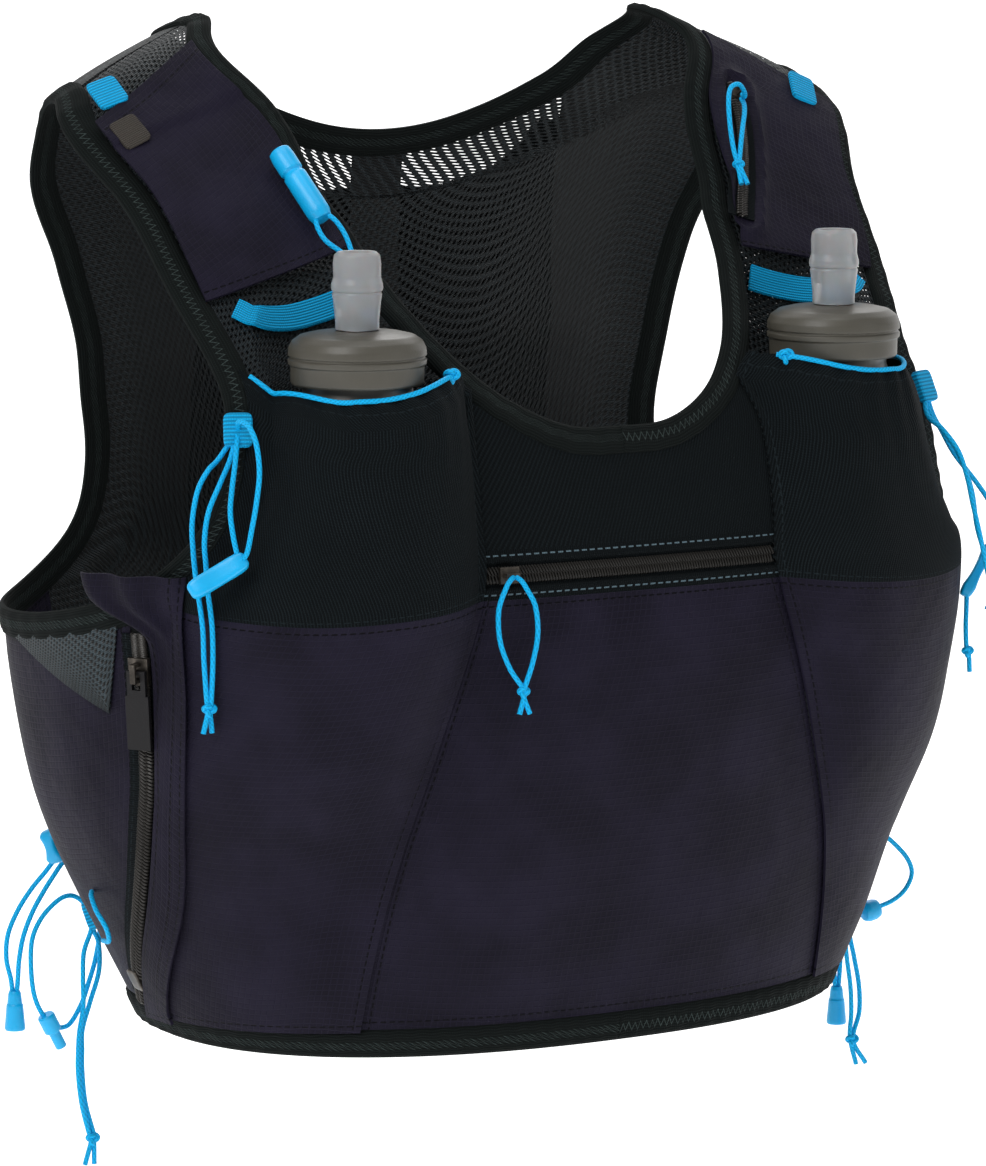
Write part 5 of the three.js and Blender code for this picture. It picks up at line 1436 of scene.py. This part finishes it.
# Tabs and locks that cords leave, and how near a cord's start has to be to be led into one
ANCHORS = ((-CHEST_TAB[0], *CHEST_TAB[1:]), CHEST_TAB, *(spot for spot, size in TABS.values()))
ANCHOR_REACH = 0.0155
BARREL = [
    (0.0, -0.0042), (0.003, -0.0042), (0.0034, -0.0036), (0.0034, 0.0028), (0.0022, 0.0038),
    (0.0022, 0.0105), (0.0, 0.011),
]
BEAD = [
    (0.0, -0.0045), (0.0034, -0.0037), (0.0042, -0.0018), (0.0042, 0.0012), (0.0036, 0.003), (0.0, 0.004),
]
BELL = [
    (0.0, 0.0), (0.0021, 0.0), (0.0025, -0.0012), (0.0029, -0.005), (0.0032, -0.0054),
    (0.004, -0.0146), (0.0037, -0.0153), (0.0, -0.0153),
]
TUBE = [
    (0.0, 0.0), (0.0034, 0.0), (0.0041, 0.0006), (0.0044, 0.003), (0.0044, 0.0095), (0.0036, 0.0105),
    (0.0044, 0.012), (0.0045, 0.029), (0.0036, 0.032), (0.0, 0.0325),
]
CORD_ENDS = {  # turned profile, or None for a flat hook; its base; its direction
    "chest_hook_right": (None, (-0.157, -0.147, -0.1855), (-0.85, 0.2, -0.48)),
    "chest_hook_left": (None, (0.173, -0.136, -0.2045), (-0.55, 0, -0.835)),
    "hem_toggle_right": (BARREL, (-0.154, 0.0185, -0.384), (0.45, 0, -0.89)),
    "hem_toggle_left": (BEAD, (0.1725, -0.058, -0.359), (1, 0, 0.2)),
    "cinch_cord_right": (BELL, (-0.1664, 0.0235, -0.3705), (0, 0, 1)),
    "cinch_cord_left": (BELL, (0.165, -0.045, -0.3915), (0, 0, 1)),
    "whistle": (TUBE, (-0.101, -0.0725, -0.046), (0.24, -0.62, -0.75)),
}


def strand(name, stops, material, node=None):
    """A round cord along a smooth curve through its stops. Returns the object, its points and length."""
    points = smooth(stops)(np.linspace(0, 1, STEPS_PER_STOP * len(stops)))
    length = float(np.linalg.norm(np.diff(points, axis=0), axis=1).sum())
    curve = bpy.data.curves.new(name, "CURVE")
    curve.dimensions = "3D"
    curve.bevel_depth = settings().cord_diameter / 2
    curve.bevel_resolution = 4
    curve.use_fill_caps = True
    spline = curve.splines.new("POLY")
    spline.points.add(len(points) - 1)
    spline.points.foreach_set("co", np.concatenate([points, np.ones((len(points), 1))], 1).ravel())
    spline.use_smooth = True
    curve.materials.append(material)
    made = bpy.data.objects.new(name, curve)
    made["turns"] = length / BRAID_TURN
    bpy.context.scene.collection.objects.link(made)
    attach(made, "vest")
    if node:
        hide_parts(node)
    return made, points, length


def from_anchor(stops):
    """The stops, led back into the nearest tab or lock where one is within reach."""
    spots = np.array([placed(*anchor)[0] for anchor in ANCHORS])
    gaps = np.linalg.norm(spots - np.array(stops[0]), axis=1)
    near = gaps.argmin()
    return [tuple(spots[near]), *stops] if gaps[near] < ANCHOR_REACH else stops


def tied(name, centre, radius, material, node=None):
    """An overhand knot: the trefoil (sin t + 2 sin 2t, -1.2 sin 3t, cos t - 2 cos 2t), scaled."""
    t = np.linspace(0, 2 * np.pi, 90)
    trefoil = np.stack([
        np.sin(t) + 2 * np.sin(2 * t), -1.2 * np.sin(3 * t), np.cos(t) - 2 * np.cos(2 * t)], -1)
    stops = np.array(centre) + trefoil * (radius - settings().cord_diameter / 2) / 3
    return strand(name, stops, material, node)[0]


def cord_end(node, material):
    """The hook, toggle, bell or whistle at a cord's far end."""
    outline, base, along = CORD_ENDS[node]
    if outline:
        return turned(f"{node}_end", outline, base, along, material, node, "blue", 40, 6)
    return bar(f"{node}_end", base, along, material, node)


def make_cords():
    cover = braided("cord_cover", settings().blue)
    gloss = moulded("bell_plastic", settings().blue, 0.36, 0.0009, 0.00005)
    for node, strands in ROUTES.items():
        on_it = [cord_end(node, gloss)] if node in CORD_ENDS else []
        if node in KNOTS:
            on_it.append(tied(f"{node}_knot", *KNOTS[node], cover, node))
        if node == "whistle":
            strands = [strands[0] + strands[1][-2::-1]]
        for k, route in enumerate(strands):
            stops = from_anchor([tuple(place / 1000 for place in stop) for stop in route])
            made, points, length = strand(f"{node}_{k}", stops, cover, node)


def make_mouth_cords():
    """Elastic cord in the mouth of each bottle pocket, tied near its neck side."""
    cover = braided("mouth_cover", settings().blue)
    angle, z = np.moveaxis(mouth()[0](np.linspace(0.14, 0.97, 40)), -1, 0)
    out = pocket_face(angle, z) + CLOTH + 0.0004
    left = form_point(angle, z) + form_normal(angle, z) * out[:, None]
    for side, sign in SIDES:
        stops = left * np.array([sign, 1, 1])
        strand(f"mouth_{side}", stops, cover)
        tied(f"mouth_knot_{side}", stops[2], 0.0034, cover)


# Stage, camera and light
FLOOR_DROP = 0.02  # of the backdrop below the part
BACKDROP_HALF = 4
BACKDROP_START = -3
FLOOR_RUN = 4.0
BEND_RUN = 1.5
BACKDROP_RUN = 7.0
BEND_RADIUS = BEND_RUN / (np.pi / 2)


def make_stage():
    """A sheet of paper: a floor, a bend and a wall, turned to face the camera."""
    floor_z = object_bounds()[0][2] - FLOOR_DROP
    u, v = np.meshgrid(np.linspace(-BACKDROP_HALF, BACKDROP_HALF, 61), np.linspace(0, 1, 81))
    run = v * BACKDROP_RUN
    bend = np.clip((run - FLOOR_RUN) / BEND_RUN, 0, 1) * np.pi / 2
    y = BACKDROP_START + np.minimum(run, FLOOR_RUN) + BEND_RADIUS * np.sin(bend)
    wall = np.clip(run - FLOOR_RUN - BEND_RUN, 0, None) * 2
    points = np.stack([u, y, floor_z + BEND_RADIUS * (1 - np.cos(bend)) + wall], -1)
    turn = math.radians(CAMERA["azimuth"])
    spin = np.array([[math.cos(turn), math.sin(turn), 0], [-math.sin(turn), math.cos(turn), 0], [0, 0, 1]])
    mesh = bpy.data.meshes.new("backdrop")
    quads = grid_quads(*u.shape, flip=True)
    mesh.from_pydata((points @ spin).reshape(-1, 3).tolist(), [], quads.tolist())
    mesh.polygons.foreach_set("use_smooth", np.ones(len(mesh.polygons), bool))
    mesh.materials.append(paper("backdrop_paper", (0.9, 0.9, 0.9)))
    made = bpy.data.objects.new("backdrop", mesh)
    bpy.context.scene.collection.objects.link(made)
    made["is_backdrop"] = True


def make_camera():
    azimuth, elevation = math.radians(CAMERA["azimuth"]), math.radians(CAMERA["elevation"])
    level = math.cos(elevation)
    right = np.array([math.cos(azimuth), math.sin(azimuth), 0])
    back = np.array([math.sin(azimuth) * level, -math.cos(azimuth) * level, math.sin(elevation)])
    up = np.cross(back, right)
    place = right * CAMERA["across"] + up * CAMERA["up"] + back * CAMERA["distance"]
    data = bpy.data.cameras.new("camera")
    data.lens = CAMERA["lens"]
    data.sensor_width = 36
    data.clip_start, data.clip_end = 0.05, 50
    made = bpy.data.objects.new("camera", data)
    made.matrix_world = Matrix((*np.stack([right, up, back, place], 1).tolist(), (0, 0, 0, 1)))
    bpy.context.scene.collection.objects.link(made)
    bpy.context.scene.camera = made


LAMPS = (  # name, azimuth, elevation, distance, size, watts
    ("key", -62, 38, 1.6, 0.8, 11),
    ("fill", 35, 25, 1.9, 1.2, 3),
    ("rim", 150, 45, 1.7, 0.9, 6),
    ("top", -20, 80, 1.5, 0.9, 6),
)


LIT_POINT = (0, -0.05, -0.2)
WORLD_STRENGTH = 0.3


def make_light():
    world = bpy.data.worlds.new("studio")
    world.use_nodes = True
    background = world.node_tree.nodes["Background"]
    background.inputs[0].default_value = (1, 1, 1, 1)
    background.inputs[1].default_value = WORLD_STRENGTH
    bpy.context.scene.world = world
    for name, azimuth, elevation, distance, size, watts in LAMPS:
        data = bpy.data.lights.new(name, "AREA")
        data.energy = watts
        data.size = size
        made = bpy.data.objects.new(name, data)
        a, e = math.radians(azimuth), math.radians(elevation)
        back = Vector((math.sin(a) * math.cos(e), -math.cos(a) * math.cos(e), math.sin(e)))
        made.location = Vector(LIT_POINT) + back * distance
        made.rotation_mode = "QUATERNION"
        made.rotation_quaternion = back.to_track_quat("Z", "Y")
        bpy.context.scene.collection.objects.link(made)
    bpy.context.scene.view_settings.view_transform = "Standard"


# Operators and panel
class VEST_OT_stage(bpy.types.Operator):
    """Makes the camera, lamps and backdrop."""

    bl_idname = "vest.stage"
    bl_label = "Stage"

    def execute(self, context):
        make_camera()
        make_light()
        make_stage()
        return {"FINISHED"}


class VEST_OT_cords(bpy.types.Operator):
    """Makes every free cord with its knots and ends."""

    bl_idname = "vest.cords"
    bl_label = "Cords"

    def execute(self, context):
        make_cords()
        return {"FINISHED"}


class VEST_OT_straps(bpy.types.Operator):
    """Makes the mesh shoulder straps."""

    bl_idname = "vest.straps"
    bl_label = "Straps"

    def execute(self, context):
        make_straps()
        return {"FINISHED"}


class VEST_OT_front(bpy.types.Operator):
    """Makes the yoke, zip band and centre pouch."""

    bl_idname = "vest.front"
    bl_label = "Front"

    def execute(self, context):
        make_front()
        return {"FINISHED"}


class VEST_OT_sides(bpy.types.Operator):
    """Makes the side pockets and the panels under the arms."""

    bl_idname = "vest.sides"
    bl_label = "Sides"

    def execute(self, context):
        make_sides()
        make_side_mesh()
        return {"FINISHED"}


class VEST_OT_back(bpy.types.Operator):
    """Makes the mesh back and its stretch pocket."""

    bl_idname = "vest.back"
    bl_label = "Back"

    def execute(self, context):
        make_back()
        return {"FINISHED"}


class VEST_OT_bottle_pockets(bpy.types.Operator):
    """Makes the bottle pockets and their mouth cords."""

    bl_idname = "vest.bottle_pockets"
    bl_label = "Bottle pockets"

    def execute(self, context):
        make_bottle_pockets()
        make_mouth_cords()
        return {"FINISHED"}


class VEST_OT_shoulders(bpy.types.Operator):
    """Makes the two shoulder pockets."""

    bl_idname = "vest.shoulders"
    bl_label = "Shoulder pockets"

    def execute(self, context):
        make_shoulders()
        return {"FINISHED"}


class VEST_OT_bindings(bpy.types.Operator):
    """Makes the elastic bindings."""

    bl_idname = "vest.bindings"
    bl_label = "Bindings"

    def execute(self, context):
        make_bindings()
        return {"FINISHED"}


class VEST_OT_flasks(bpy.types.Operator):
    """Makes flasks, caps, valves and their bands."""

    bl_idname = "vest.flasks"
    bl_label = "Flasks"

    def execute(self, context):
        make_flasks()
        return {"FINISHED"}


class VEST_OT_zips(bpy.types.Operator):
    """Makes tapes, coils, the placket and the sliders' finish."""

    bl_idname = "vest.zips"
    bl_label = "Zips"

    def execute(self, context):
        make_zips()
        return {"FINISHED"}


class VEST_OT_trims(bpy.types.Operator):
    """Makes webbing loops, tabs, cord locks and the blank label."""

    bl_idname = "vest.trims"
    bl_label = "Trims"

    def execute(self, context):
        make_trims()
        return {"FINISHED"}


OPERATORS = (
    VEST_OT_stage, VEST_OT_cords, VEST_OT_straps, VEST_OT_front, VEST_OT_sides, VEST_OT_back,
    VEST_OT_bottle_pockets, VEST_OT_shoulders, VEST_OT_bindings, VEST_OT_flasks, VEST_OT_zips,
    VEST_OT_trims,
)


class VEST_PT_panel(bpy.types.Panel):
    """Sizes and makers of the vest."""

    bl_label = "Running Vest"
    bl_space_type = "VIEW_3D"
    bl_region_type = "UI"
    bl_category = "Vest"

    def draw(self, context):
        for name in VestSettings.__annotations__:
            self.layout.prop(context.scene.vest, name)
        for made in OPERATORS:
            self.layout.operator(made.bl_idname)


CLASSES = (VestSettings, *OPERATORS, VEST_PT_panel)


def register():
    for made in CLASSES:
        bpy.utils.register_class(made)
    bpy.types.Scene.vest = bpy.props.PointerProperty(type=VestSettings)


def unregister():
    del bpy.types.Scene.vest
    for made in reversed(CLASSES):
        bpy.utils.unregister_class(made)


def main():
    register()
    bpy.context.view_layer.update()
    bpy.ops.vest.stage()
    bpy.ops.vest.cords()
    bpy.ops.vest.straps()
    bpy.ops.vest.front()
    bpy.ops.vest.sides()
    bpy.ops.vest.back()
    bpy.ops.vest.bottle_pockets()
    bpy.ops.vest.shoulders()
    bpy.ops.vest.bindings()
    bpy.ops.vest.flasks()
    bpy.ops.vest.zips()
    bpy.ops.vest.trims()


if __name__ == "__main__":
    main()
